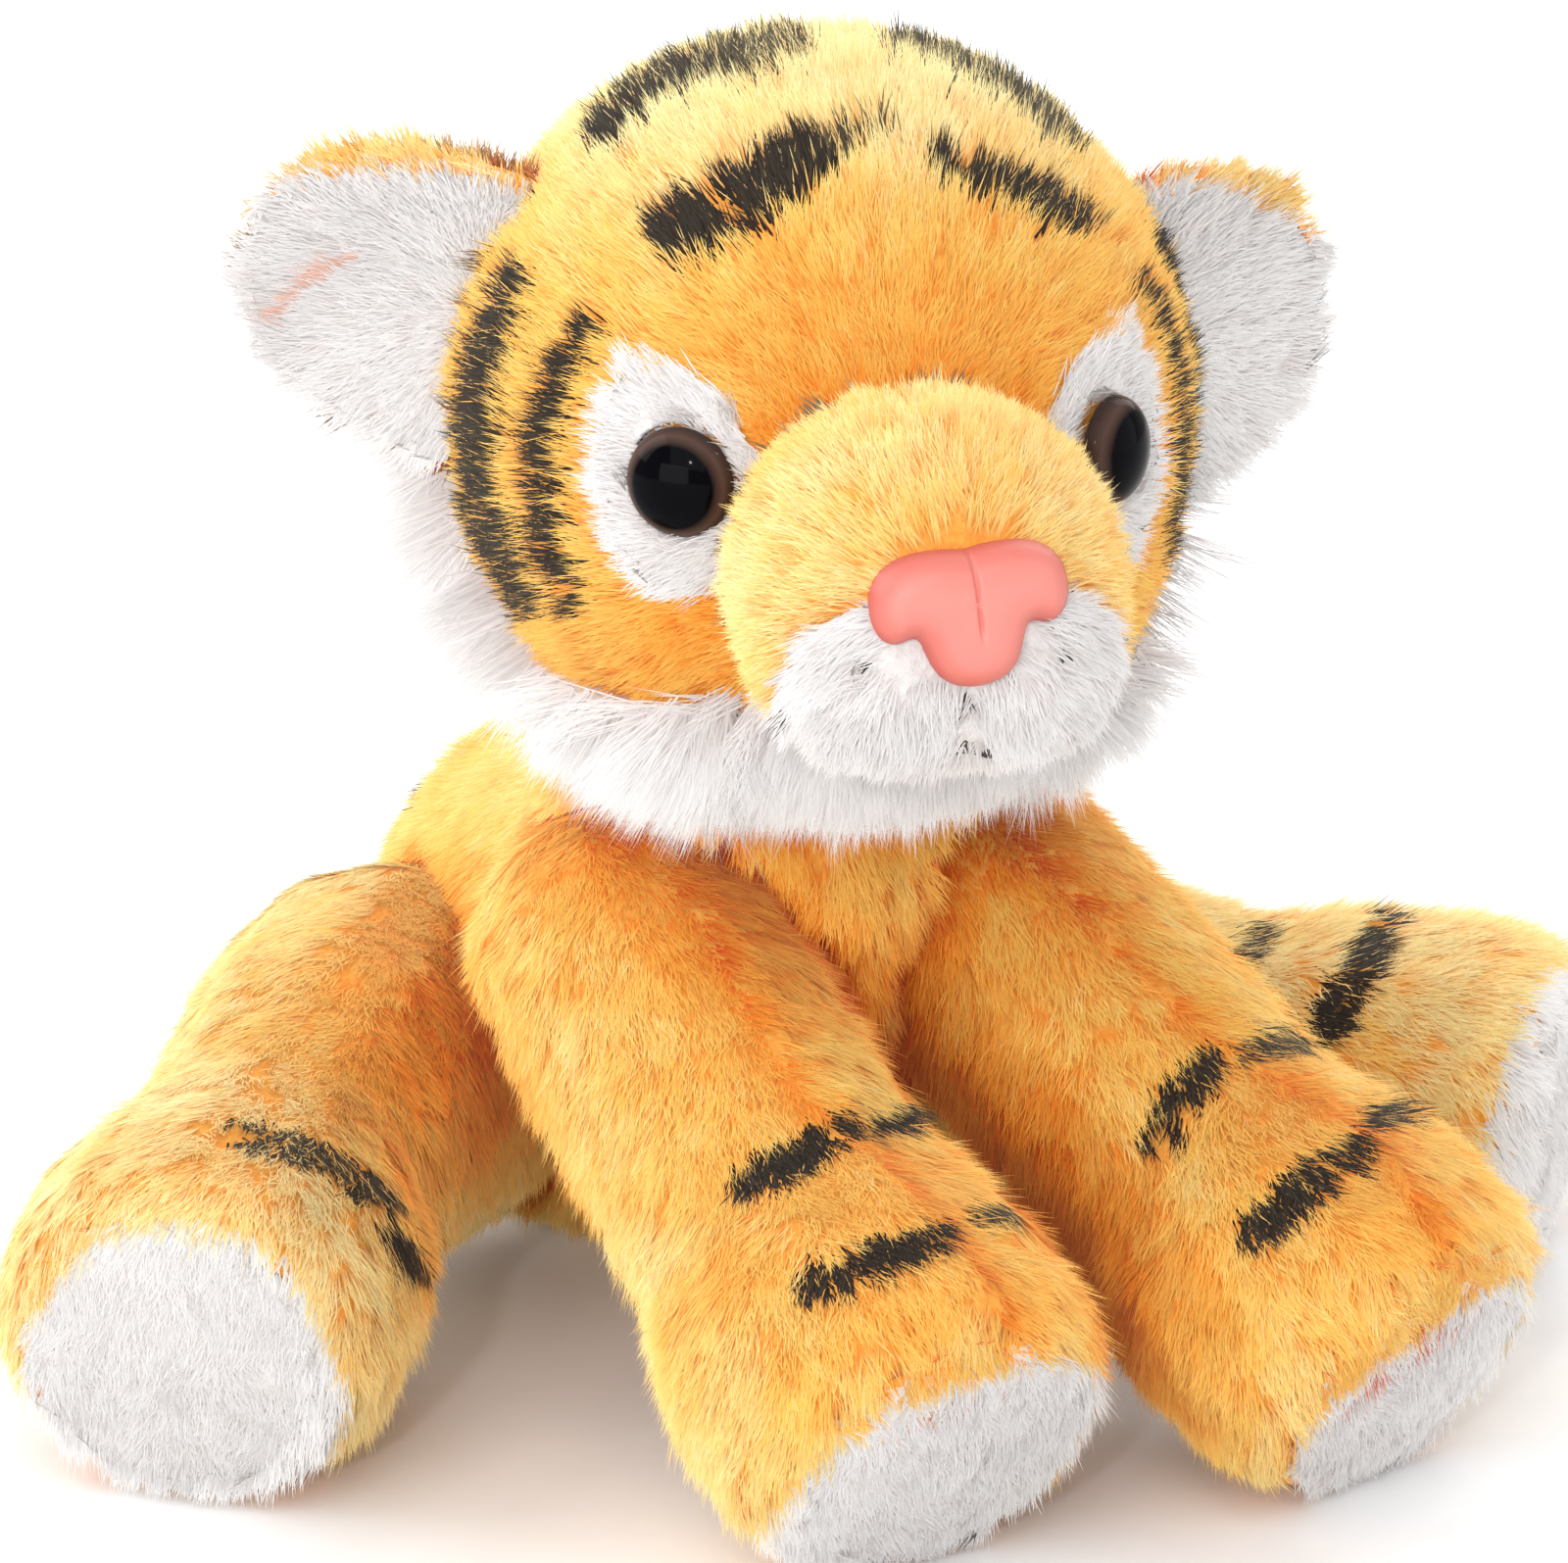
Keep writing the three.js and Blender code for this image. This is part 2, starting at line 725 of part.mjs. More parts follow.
const muzzleGrown = formSolid(muzzleForm, seamGap, medium, ringsFor(medium));
const headInner = formSolid(headForm, -coverThickness, coarse, ringsFor(coarse));
const headCore = formSolid(headForm, -coverThickness - seamGap, coarse, ringsFor(coarse));
const stemHoles = Object.values(eyeSeats).map(({ seat, direction }) => (
  rod(eyeStem / 2 + stemGap, -stemReach, stemReach, eyeFacets / 2, seat, direction)
));
const eyeRooms = Object.values(eyeSeats).map(({ seat, direction }) => (
  rod(eyeWidth / 2 + seamGap, eyeLie - seamGap, stemReach, eyeFacets, seat, direction)
));
const washerPockets = Object.values(eyeSeats).map(({ seat, direction }) => (
  washerPocket(eyeStem, eyeStemLength, washerDepth, seat, direction)
));
const slabs = ruffSlabs(ruffInset, bibEnd, seamGap);
const slabsGrown = ruffSlabs(ruffInset, bibEnd + seamGap, 0);
const bandGrown = ruffBand(ruffOutline);
const ruffHoles = Object.values(slabsGrown).map((slab) => bandGrown.intersect(slab));
const headCover = less(
  headOuter,
  [headInner, ...ruffHoles, ...stemHoles, ...eyeRooms, ...earRooms, neckSocketInHead],
);
const band = ruffBand(inset(ruffOutline, seamGap));
const ruffShell = formSolid(headForm, ruffPile, fine, ringsFor(fine)).subtract(headInner).intersect(band);
const ruffCutters = [...earRooms, neckSocketInHead, muzzleGrown];
const ruffs = {
  ruff_right: less(ruffShell.intersect(slabs.right), ruffCutters),
  ruff_left: less(ruffShell.intersect(slabs.left), ruffCutters),
  chin_bib: less(ruffShell.intersect(slabs.middle), ruffCutters),
};
const headStuffing = less(headCore, [...washerPockets, ...earRooms, neckSocketInHead]);

// Muzzle: a stuffed bump with the bridge's cloth above and a pair of white pads in front

const noseAhead = vec(0, -1, 0);
const noseSeat = surfacePoint(muzzleForm, 0, vec(0, -muzzleDepth, noseLift).normalize());
const padFacets = 18;
const padPlaces = [padsAt, ...padLobes.map(({ at }) => at)];
const padColumns = (radius) => padPlaces.map((at) => (
  rod(radius, padsAt.y - muzzleAt.y, overrun, padFacets, at, noseAhead)
));
const padsHigh = padHeight / 2 + seamGap;
const noseHole = rod(noseStem / 2 + stemGap, -stemReach, stemReach, washerFacets, noseSeat, noseAhead);
const muzzleShell = less(
  muzzleOuter,
  [formSolid(muzzleForm, -coverThickness, coarse, ringsFor(coarse)), headGrown, noseHole],
);
const nosePocket = washerPocket(noseStem, noseStemLength, coverThickness + seamGap + washerSag, noseSeat, noseAhead);
const muzzleCutters = Object.values(eyeSeats).map(({ seat, direction }) => (
  rod(eyeWidth / 2 + seamGap, -stemReach, stemReach, eyeFacets, seat, direction)
));
const chinTop = padsAt.z - chinShare * padHeight;
const belowChin = (top) => boxSolid(vec(-overrun, -wholeSpan, -overrun), vec(overrun, overrun, top));
const muzzleCover = less(muzzleShell, [...padColumns(padsHigh), belowChin(chinTop + seamGap), ...muzzleCutters]);
const whiskerPads = muzzleShell.intersect(joined([...padColumns(padsHigh - seamGap), belowChin(chinTop)]));
const muzzleStuffing = less(
  formSolid(muzzleForm, -coverThickness - seamGap, coarse, ringsFor(coarse)),
  [headGrown, nosePocket, ...muzzleCutters],
);

const noseShares = [
  [0, 1], [0.62, 0.96], [0.93, 0.7], [1, 0.3], [0.93, -0.12], [0.7, -0.3],
  [0.52, -0.45], [0.36, -0.82], [0.16, -0.98], [-0.16, -0.98], [-0.36, -0.82], [-0.52, -0.45],
  [-0.7, -0.3], [-0.93, -0.12], [-1, 0.3], [-0.93, 0.7], [-0.62, 0.96],
];

function noseSolid() {
  const outline = scaledOutline(noseShares, noseWidth / 2, noseHeight / 2).reverse();
  const column = prism(outline, noseSeat, vec(1, 0, 0), up, -stemReach, stemReach);
  const ball = new THREE.SphereGeometry(1, medium, ringsFor(medium));
  const bulgeShares = { across: 1.16, upward: 1.2 };
  ball.scale((bulgeShares.across * noseWidth) / 2, noseDepth / 2, (bulgeShares.upward * noseHeight) / 2);
  ball.translate(noseSeat.x, noseSeat.y, noseSeat.z);
  const stem = rod(noseStem / 2, -noseStemLength, noseStemShare * noseDepth, washerFacets, noseSeat, noseAhead);
  return solidOf(ball).intersect(column).subtract(muzzleGrown).add(stem);
}

// The mouth's thread lies on the pads, down from the nose and across

function threadAlong(angles) {
  const lie = seamGap + threadWidth / 2;
  const points = angles.map(([aside, below]) => {
    const a = radians(aside);
    const b = radians(below);
    return surfacePoint(muzzleForm, lie, vec(Math.sin(a), -Math.cos(a) * Math.cos(b), -Math.cos(a) * Math.sin(b)));
  });
  const path = new THREE.CatmullRomCurve3(points);
  const threadSides = 6;
  const section = new THREE.Shape();
  for (let k = 0; k < threadSides; k += 1) {
    const turn = (2 * Math.PI * k) / threadSides;
    const point = [(threadWidth / 2) * Math.cos(turn), (threadWidth / 2) * Math.sin(turn)];
    if (k) section.lineTo(...point);
    else section.moveTo(...point);
  }
  const stepsPerPoint = 2;
  const steps = stepsPerPoint * angles.length;
  return solidOf(new THREE.ExtrudeGeometry(section, { steps, extrudePath: path, bevelEnabled: false }));
}

// Degrees below straight ahead, from the middle of the muzzle
const stitchTop = 27;
const stitchMiddle = 34;
const stitchFoot = 41;
const mouthTop = 40;
const mouthCorner = 45;
const mouthAngle = THREE.MathUtils.radToDeg(mouthWidth / muzzleHeight);
const mouthThread = threadAlong([[0, stitchTop], [0, stitchMiddle], [0, stitchFoot]]).add(
  threadAlong([[-mouthAngle, mouthCorner], [0, mouthTop], [mouthAngle, mouthCorner]]),
);

// Legs, tail and what they cut from the trunk

function onTrunk(centre, size, shares, side) {
  return vec(
    side * shares.out * size.x,
    centre.y - shares.ahead * size.y,
    centre.z + shares.up * size.z,
  );
}

const chestHalf = vec(chestWidth / 2, chestDepth / 2, chestHeight / 2);
const seatHalf = vec(seatWidth / 2, seatLength / 2, seatHeight / 2);
const shoulderRight = onTrunk(chestAt, chestHalf, shoulderShares, sides.right);
const shoulderLeft = onTrunk(chestAt, chestHalf, shoulderShares, sides.left);
const hipRight = onTrunk(seatAt, seatHalf, hipShares, sides.right);
const hipLeft = onTrunk(seatAt, seatHalf, hipShares, sides.left);
const foreSizes = { root: foreRoot, shank: foreShank, lift: foreLift, drop: foreDrop };
const hindSizes = { root: hindRoot, shank: hindShank, lift: hindLift, drop: hindDrop };
const legs = [
  standingLeg('front_leg_right', shoulderRight, foreAzimuthRight, foreReachRight, foreKnee, foreSizes),
  standingLeg('front_leg_left', shoulderLeft, foreAzimuthLeft, foreReachLeft, foreKnee, foreSizes),
  standingLeg('hind_leg_right', hipRight, hindAzimuthRight, hindReachRight, hindKneeRight, hindSizes),
  standingLeg('hind_leg_left', hipLeft, hindAzimuthLeft, hindReachLeft, hindKneeLeft, hindSizes),
];
const tailPivot = vec(
  0,
  seatAt.y + tailRootShares.back * seatHalf.y,
  seatAt.z + tailRootShares.up * seatHalf.z,
);
const tailRest = tailWidth / 2 - floorCut;
const tailAxis = new THREE.QuadraticBezierCurve3(
  tailPivot,
  vec(0, tailPivot.y + tailBendShare * tailLength, tailRest),
  vec(tailCurl, tailPivot.y + Math.sqrt(tailLength ** 2 - tailCurl ** 2), tailRest),
);

function tailGeometry(grow) {
  const length = tailAxis.getLength();
  const root = tailRoot / 2 + grow;
  const radius = tailWidth / 2 + grow;
  const rings = ballRings(root);
  rings.push({ along: tailRootEndShare * length, wide: root, high: root });
  for (const share of tailSwellShares) rings.push({ along: share * length, wide: radius, high: radius });
  for (const [share, thinner] of tailTipShares) {
    rings.push({ along: share * length + grow, wide: radius * thinner, high: radius * thinner });
  }
  return loftGeometry(tailAxis, -root, rings, length + grow, legFacets);
}

const floorSlab = boxSolid(
  vec(-wholeSpan, -wholeSpan, -overrun),
  vec(wholeSpan, wholeSpan, 0),
);

// The room that the head needs over the trunk: skull, jaw and ruff at the ends of the nod and the turn
function headRoom(gap) {
  const lobes = [];
  for (const nod of [-neckNodUp, neckNodDown]) {
    for (const turn of [-neckTurn, 0, neckTurn]) {
      const melted = faceBlend * Math.LN2;
      const places = [[skull, ruffPile / 2 + melted], [jaw, ruffPile + melted]];
      for (const [{ at, half }, pile] of places) {
        const place = headGroup.localToWorld(at.clone()).sub(neckPivot);
        place.applyAxisAngle(nodAxis, radians(nod)).applyAxisAngle(up, radians(turn)).add(neckPivot);
        lobes.push({ at: place, half: half.clone().addScalar(pile) });
      }
    }
  }
  const room = gap + facetRoom(headWidth / 2, medium);
  return formSolid({ lobes, blend: dishBlend, centre: headAt }, room, medium, ringsFor(medium));
}

// Everything that swings, grown by a gap
function swingCutters(gap) {
  const tailRoom = loftGeometry(
    new THREE.LineCurve3(tailPivot, tailPivot.clone().add(vec(0, tailRoot, 0))),
    -tailRoot / 2 - gap,
    [...ballRings(tailRoot / 2 + gap), ...tailFlare(gap)],
    2 * tailRoot,
    legFacets,
  );
  return [...legs.map((leg) => solidOf(socketGeometry(leg, gap))), solidOf(tailRoom), headRoom(gap)];
}

function tailFlare(gap) {
  const radius = tailRoot / 2 + gap;
  const swing = radians(tailSwing);
  return [
    { along: 0, wide: radius, high: radius },
    { along: tailRoot, wide: radius / Math.cos(swing) + tailRoot * Math.tan(swing), high: radius },
  ];
}

const neckSocket = ballSolid(neckPivot, neckBall / 2 + jointGap, coarse);
const trunkOuter = formSolid(trunk, 0, medium, ringsFor(medium));
const trunkInner = formSolid(trunk, -coverThickness, coarse, ringsFor(coarse));
const trunkCore = formSolid(trunk, -coverThickness - seamGap, coarse, ringsFor(coarse));
const shell = less(trunkOuter, [...swingCutters(jointGap), floorSlab]);
const hollow = less(trunkInner, swingCutters(jointGap + coverThickness));
const trunkCover = shell.subtract(hollow).subtract(neckSocket);
const trunkStuffing = less(trunkCore, [...swingCutters(jointGap + coverThickness + seamGap), neckSocket]);

// The trunk's cover is two sides that meet on the spine, and a panel for chest and belly
const bellyZone = boxSolid(
  vec(-bellyPanelWidth / 2, -wholeSpan, -overrun),
  vec(bellyPanelWidth / 2, bellyPanelBack, wholeSpan),
);
const bellyZoneGrown = boxSolid(
  vec(-bellyPanelWidth / 2 - seamGap, -wholeSpan, -overrun),
  vec(bellyPanelWidth / 2 + seamGap, bellyPanelBack + seamGap, wholeSpan),
);

function trunkSide(side) {
  const near = (side * seamGap) / 2;
  const far = side * wholeSpan;
  const half = boxSolid(
    vec(Math.min(near, far), -wholeSpan, -overrun),
    vec(Math.max(near, far), wholeSpan, wholeSpan),
  );
  return largest(trunkCover.intersect(half).subtract(bellyZoneGrown.subtract(trunkCore)));
}

const bagPlane = (low, high) => boxSolid(
  vec(-wholeSpan, -wholeSpan, low),
  vec(wholeSpan, wholeSpan, high),
);

// The scene graph

const looks = {
  orange: new THREE.MeshStandardMaterial({ color: 0xf0a43c, roughness: 0.95 }),
  white: new THREE.MeshStandardMaterial({ color: 0xf2f1f0, roughness: 0.95 }),
  stuffing: new THREE.MeshStandardMaterial({ color: 0xe8e6e0, roughness: 1 }),
  pellets: new THREE.MeshStandardMaterial({ color: 0xcfcac0, roughness: 0.9 }),
  eye: new THREE.MeshStandardMaterial({ color: 0x140c0a, roughness: 0.08 }),
  washer: new THREE.MeshStandardMaterial({ color: 0xdedede, roughness: 0.5 }),
  nose: new THREE.MeshStandardMaterial({ color: 0xf0917f, roughness: 0.4 }),
  thread: new THREE.MeshStandardMaterial({ color: 0x201a1a, roughness: 0.8 }),
};

const crease = 40;

function named(name, solid, look) {
  const creased = toCreasedNormals(geometryOf(solid), radians(crease));
  const mesh = new THREE.Mesh(creased, look);
  mesh.name = name;
  return mesh;
}

const toy = new THREE.Group();

function addHead() {
  headGroup.add(named('head_cover', headCover, looks.orange));
  headGroup.add(named('head_stuffing', headStuffing, looks.stuffing));
  for (const [name, solid] of Object.entries(ruffs)) headGroup.add(named(name, solid, looks.white));
  headGroup.add(named('muzzle_cover', muzzleCover, looks.orange));
  headGroup.add(named('muzzle_stuffing', muzzleStuffing, looks.stuffing));
  headGroup.add(named('whisker_pads', whiskerPads, looks.white));
  headGroup.add(named('nose', noseSolid(), looks.nose));
  headGroup.add(named('nose_washer', washerSolid(noseStem, washerDepth, noseSeat, noseAhead), looks.washer));
  headGroup.add(named('mouth_thread', mouthThread, looks.thread));
  for (const [name, seat] of Object.entries(eyeSeats)) {
    const washer = washerSolid(eyeStem, washerDepth, seat.seat, seat.direction);
    headGroup.add(named(`eye_${name}`, eyeSolid(seat), looks.eye));
    headGroup.add(named(`eye_patch_${name}`, patchSolid(seat), looks.white));
    headGroup.add(named(`eye_washer_${name}`, washer, looks.washer));
    headGroup.add(named(`ear_front_${name}`, earSolids[name].front, looks.white));
    headGroup.add(named(`ear_back_${name}`, earSolids[name].back, looks.orange));
  }
  toy.add(headGroup);
}

function addTrunk() {
  toy.add(named('body_side_right', trunkSide(sides.right), looks.orange));
  toy.add(named('body_side_left', trunkSide(sides.left), looks.orange));
  toy.add(named('belly_panel', trunkCover.intersect(bellyZone.subtract(trunkInner)), looks.orange));
  const stuffingLow = seatBagHeight + seamGap;
  toy.add(named('body_stuffing', trunkStuffing.intersect(bagPlane(stuffingLow, wholeSpan)), looks.stuffing));
  toy.add(named('seat_pellet_bag', trunkStuffing.intersect(bagPlane(0, seatBagHeight)), looks.pellets));
  toy.add(named('neck_stuffing', ballSolid(neckPivot, neckBall / 2, coarse), looks.stuffing));
}

function addLimb(name, axis, outer, inner, core, soleAt, bagAt) {
  const cloth = outer.subtract(inner).subtract(floorSlab);
  toy.add(named(`${name}_cover`, cloth.subtract(beyond(axis, soleAt)), looks.orange));
  toy.add(named(`${name}_sole`, cloth.intersect(beyond(axis, soleAt + seamGap)), looks.white));
  toy.add(named(`${name}_stuffing`, core.subtract(beyond(axis, bagAt)), looks.stuffing));
  toy.add(named(`${name}_pellet_bag`, core.intersect(beyond(axis, bagAt + seamGap)), looks.pellets));
}

function addLegs() {
  for (const leg of legs) {
    const layers = [0, -coverThickness, -coverThickness - seamGap];
    const [outer, inner, core] = layers.map((grow) => solidOf(legGeometry(leg, grow, legFacets)));
    const length = leg.axis.getLength();
    addLimb(leg.name, leg.axis, outer, inner, core, length - seamGap, length * stuffingShare);
  }
}

function addTail() {
  const length = tailAxis.getLength();
  const outer = solidOf(tailGeometry(0)).subtract(floorSlab);
  const inner = solidOf(tailGeometry(-coverThickness));
  const core = solidOf(tailGeometry(-coverThickness - seamGap));
  const seam = length / 2;
  const cloth = outer.subtract(inner);
  toy.add(named('tail_root_cover', cloth.subtract(beyond(tailAxis, seam)), looks.orange));
  toy.add(named('tail_tip_cover', cloth.intersect(beyond(tailAxis, seam + seamGap)), looks.orange));
  toy.add(named('tail_stuffing', core, looks.stuffing));
}

addTrunk();
addLegs();
addTail();
addHead();

// The part's origin is under the middle of its own box
const extent = new THREE.Box3().setFromObject(toy, true);
const middle = extent.getCenter(new THREE.Vector3());
toy.position.set(-middle.x, -middle.y, -extent.min.z);
toy.updateMatrixWorld(true);

// Hinges in the toy's frame before that shift, for whoever poses it
toy.userData.hinges = {
  neck_turn: { pivot: neckPivot, axis: up },
  neck_nod: { pivot: neckPivot, axis: nodAxis },
  tail_swing: { pivot: tailPivot, axis: up },
};
for (const leg of legs) toy.userData.hinges[`${leg.name}_lift`] = { pivot: leg.pivot, axis: leg.hinge };
for (const [name, { pivot, axis }] of Object.entries(earHinges)) {
  toy.userData.hinges[`ear_fold_${name}`] = {
    pivot: headGroup.localToWorld(pivot.clone()).sub(toy.position),
    axis: axis.clone().applyEuler(headGroup.rotation),
  };
}

export default toy;
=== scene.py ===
import json
import math
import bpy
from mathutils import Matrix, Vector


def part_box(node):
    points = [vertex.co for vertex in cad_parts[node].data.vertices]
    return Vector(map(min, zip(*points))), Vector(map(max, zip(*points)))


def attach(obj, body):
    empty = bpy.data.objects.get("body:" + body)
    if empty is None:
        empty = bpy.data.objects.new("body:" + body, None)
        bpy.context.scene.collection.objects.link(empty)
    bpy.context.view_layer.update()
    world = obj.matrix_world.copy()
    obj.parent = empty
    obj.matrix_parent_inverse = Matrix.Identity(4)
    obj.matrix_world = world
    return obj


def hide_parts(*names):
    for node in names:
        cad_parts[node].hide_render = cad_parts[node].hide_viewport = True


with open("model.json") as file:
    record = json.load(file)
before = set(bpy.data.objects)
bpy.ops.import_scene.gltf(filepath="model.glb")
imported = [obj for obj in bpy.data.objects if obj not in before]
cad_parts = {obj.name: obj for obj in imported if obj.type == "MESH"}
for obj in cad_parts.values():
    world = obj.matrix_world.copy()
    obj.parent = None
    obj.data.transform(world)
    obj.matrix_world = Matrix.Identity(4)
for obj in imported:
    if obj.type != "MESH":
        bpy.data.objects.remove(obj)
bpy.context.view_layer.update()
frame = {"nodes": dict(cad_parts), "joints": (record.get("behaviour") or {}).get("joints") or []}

from types import SimpleNamespace

import bmesh
import bpy
import numpy as np
from mathutils import Matrix, Vector
from mathutils.bvhtree import BVHTree

# Lengths in this script are millimetres in the frame's axes unless a name ends in _m.
MM = 0.001
nodes = frame["nodes"]
UP = np.array((0.0, 0.0, 1.0))


def unit(v):
    v = np.asarray(v, float)
    return v / np.maximum(np.linalg.norm(v, axis=-1, keepdims=True), 1e-9)


def dot(a, b):
    return np.sum(a * b, axis=-1)


def norms(v):
    return np.linalg.norm(v, axis=1)


def bell(gap, reach):
    """Falls softly from 1 where the gap is nothing."""
    return np.exp(-((gap / reach) ** 2))


def node_box(name):
    low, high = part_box(name)
    return np.array(low) / MM, np.array(high) / MM


def node_middle(name):
    low, high = node_box(name)
    return (low + high) / 2


def smooth_step(low, high, x):
    t = np.clip((x - low) / (high - low), 0, 1)
    return t * t * (3 - 2 * t)


def add(name, data):
    """Puts an object into the scene."""
    obj = bpy.data.objects.new(name, data)
    bpy.context.scene.collection.objects.link(obj)
    return obj


def set_inputs(node, **values):
    for name, value in values.items():
        node.inputs[name.replace("_", " ")].default_value = value


def add_node(tree, kind, **values):
    node = tree.nodes.new(f"ShaderNode{kind}")
    set_inputs(node, **values)
    return node


def link(tree, pairs):
    for source, target in pairs:
        tree.links.new(source, target)


# The camera stands where the photograph was taken from
FRAME_WIDTH, FRAME_HEIGHT = 1600, 1595
CAMERA_AZIMUTH, CAMERA_ELEVATION = math.radians(-24), math.radians(18)
CAMERA_DISTANCE = 900
FOCAL_PIXELS = 7838.7
SENSOR_MM = 36.0
TARGET = np.array((-4.71, -32.436, 70.0))
BACK = np.array((
    math.sin(CAMERA_AZIMUTH) * math.cos(CAMERA_ELEVATION),
    -math.cos(CAMERA_AZIMUTH) * math.cos(CAMERA_ELEVATION),
    math.sin(CAMERA_ELEVATION),
))
RIGHT = np.array((math.cos(CAMERA_AZIMUTH), math.sin(CAMERA_AZIMUTH), 0.0))
ABOVE = np.cross(BACK, RIGHT)
EYE = TARGET + BACK * CAMERA_DISTANCE


def to_picture(points):
    """Pixels of the 1600 by 1595 frame at which points are seen."""
    away = points - EYE
    depth = -(away @ BACK)
    x = FRAME_WIDTH / 2 + FOCAL_PIXELS * (away @ RIGHT) / depth
    y = FRAME_HEIGHT / 2 - FOCAL_PIXELS * (away @ ABOVE) / depth
    return np.stack((x, y), -1)


def make_camera():
    data = bpy.data.cameras.new("camera")
    data.sensor_width = SENSOR_MM
    data.sensor_fit = "HORIZONTAL"
    data.lens = SENSOR_MM * FOCAL_PIXELS / FRAME_WIDTH
    data.clip_start = 0.01
    data.clip_end = 100
    camera = add("camera", data)
    turn = Matrix((RIGHT, ABOVE, BACK)).transposed().to_4x4()
    turn.translation = Vector(EYE * MM)
    camera.matrix_world = turn
    bpy.context.scene.camera = camera


# Soft lamps and a white surround
def make_lamp(name, place, power, size):
    data = bpy.data.lights.new(name, "AREA")
    data.shape = "RECTANGLE"
    data.size, data.size_y = size
    data.energy = power
    place = Vector(place)
    aim = Vector(TARGET * MM) - place
    turn = aim.to_track_quat("-Z", "Y").to_matrix().to_4x4()
    add(name, data).matrix_world = Matrix.Translation(place) @ turn


WORLD_LIGHT = 0.64


def make_world():
    world = bpy.data.worlds.new("studio")
    bpy.context.scene.world = world
    world.use_nodes = True
    tree = world.node_tree
    tree.nodes.clear()
    path = add_node(tree, "LightPath")
    sight = add_node(tree, "Math")
    sight.operation = "MAXIMUM"
    lighting = add_node(tree, "Background", Color=(1.0, 0.985, 0.97, 1), Strength=WORLD_LIGHT)
    seen = add_node(tree, "Background", Color=(1, 1, 1, 1), Strength=1.0)
    mix = add_node(tree, "MixShader")
    output = add_node(tree, "OutputWorld")
    link(tree, (
        (path.outputs["Is Camera Ray"], sight.inputs[0]),
        (path.outputs["Is Transmission Ray"], sight.inputs[1]),
        (sight.outputs[0], mix.inputs[0]),
        (lighting.outputs[0], mix.inputs[1]),
        (seen.outputs[0], mix.inputs[2]),
        (mix.outputs[0], output.inputs[0]),
    ))


# Materials
def new_material(name, **values):
    material = bpy.data.materials.new(name)
    material.use_nodes = True
    shader = material.node_tree.nodes["Principled BSDF"]
    set_inputs(shader, **values)
    return material, material.node_tree, shader


def texture_node(tree, kind, scale, detail):
    """A texture laid out in the piece's own coordinates."""
    where = add_node(tree, "TexCoord")
    texture = add_node(tree, kind, Scale=scale, Detail=detail)
    tree.links.new(where.outputs["Object"], texture.inputs["Vector"])
    return texture.outputs[0]


def ramp_node(tree, source, stops):
    ramp = add_node(tree, "ValToRGB")
    elements = ramp.color_ramp.elements
    stops = list(stops)
    while len(elements) < len(stops):
        elements.new(0.5)
    for element, (place, colour) in zip(elements, stops):
        element.position = place
        element.color = (*colour, 1)
    tree.links.new(source, ramp.inputs["Fac"])
    return ramp.outputs["Color"]


def bump_node(tree, source, shader, strength, distance):
    bump = add_node(tree, "Bump", Strength=strength, Distance=distance)
    link(tree, ((source, bump.inputs["Height"]), (bump.outputs["Normal"], shader.inputs["Normal"])))


def strand_marks(tree):
    """The red and green that the mesh stores at its corners."""
    strand = add_node(tree, "Attribute")
    strand.attribute_name = "strand"
    parts = add_node(tree, "SeparateColor")
    tree.links.new(strand.outputs["Color"], parts.inputs["Color"])
    return parts.outputs[0], parts.outputs[1]


def srgb(r, g, b):
    """Linear colour of an 8 bit screen colour."""
    c = np.array((r, g, b)) / 255
    return tuple(np.where(c <= 0.04045, c / 12.92, ((c + 0.055) / 1.055) ** 2.4).tolist())


def pile_material(name, sheen, root, *tones):
    """Fur: the attribute's red picks a tone, its green runs from root to tip."""
    material, tree, shader = new_material(
        f"plush_pile_{name}", Sheen_Weight=sheen, Sheen_Roughness=0.5, Specular_IOR_Level=0.15)
    red, green = strand_marks(tree)
    steps = len(tones) - 1
    tone = ramp_node(tree, red, [(k / steps, srgb(*c)) for k, c in enumerate(tones)])
    # The root colour darkens each strand's foot: partly the pile's own deeper colour, partly painted shade
    # between the strands
    depth = ramp_node(tree, green, [(0.0, srgb(*root)), (0.85, (1, 1, 1)), (1.0, (1, 1, 1))])
    mix = add_node(tree, "Mix")
    mix.data_type = "RGBA"
    mix.blend_type = "MULTIPLY"
    mix.inputs[0].default_value = 1.0
    rough = add_node(tree, "MapRange", To_Min=0.85, To_Max=0.6)
    link(tree, (
        (tone, mix.inputs[6]),
        (depth, mix.inputs[7]),
        (mix.outputs[2], shader.inputs["Base Color"]),
        (green, rough.inputs["Value"]),
        (rough.outputs[0], shader.inputs["Roughness"]),
    ))
    return material


def marked_material(name, stops, **values):
    """A colour that follows the marks stored on the mesh."""
    material, tree, shader = new_material(name, **values)
    tree.links.new(ramp_node(tree, strand_marks(tree)[0], stops), shader.inputs["Base Color"])
    return material, tree, shader


def mottled_material(name, low, high, scale, detail, bump=None, kind="TexNoise",
                     stops=(0.3, 0.7), **values):
    """A colour that wanders between two tones; bump is its strength and distance."""
    material, tree, shader = new_material(name, **values)
    pattern = texture_node(tree, kind, scale, detail)
    tree.links.new(ramp_node(tree, pattern, zip(stops, (low, high))), shader.inputs["Base Color"])
    if bump:
        bump_node(tree, pattern, shader, *bump)
    return material


def backing_material(name, low, high):
    """The knitted backing under the strands."""
    return mottled_material(name, low, high, 900, 6.0, (0.8, 0.0006), Roughness=0.9)


# Kinds of strand, in the order of the pile's materials
ORANGE, DARK, WHITE, BLUSH = range(4)


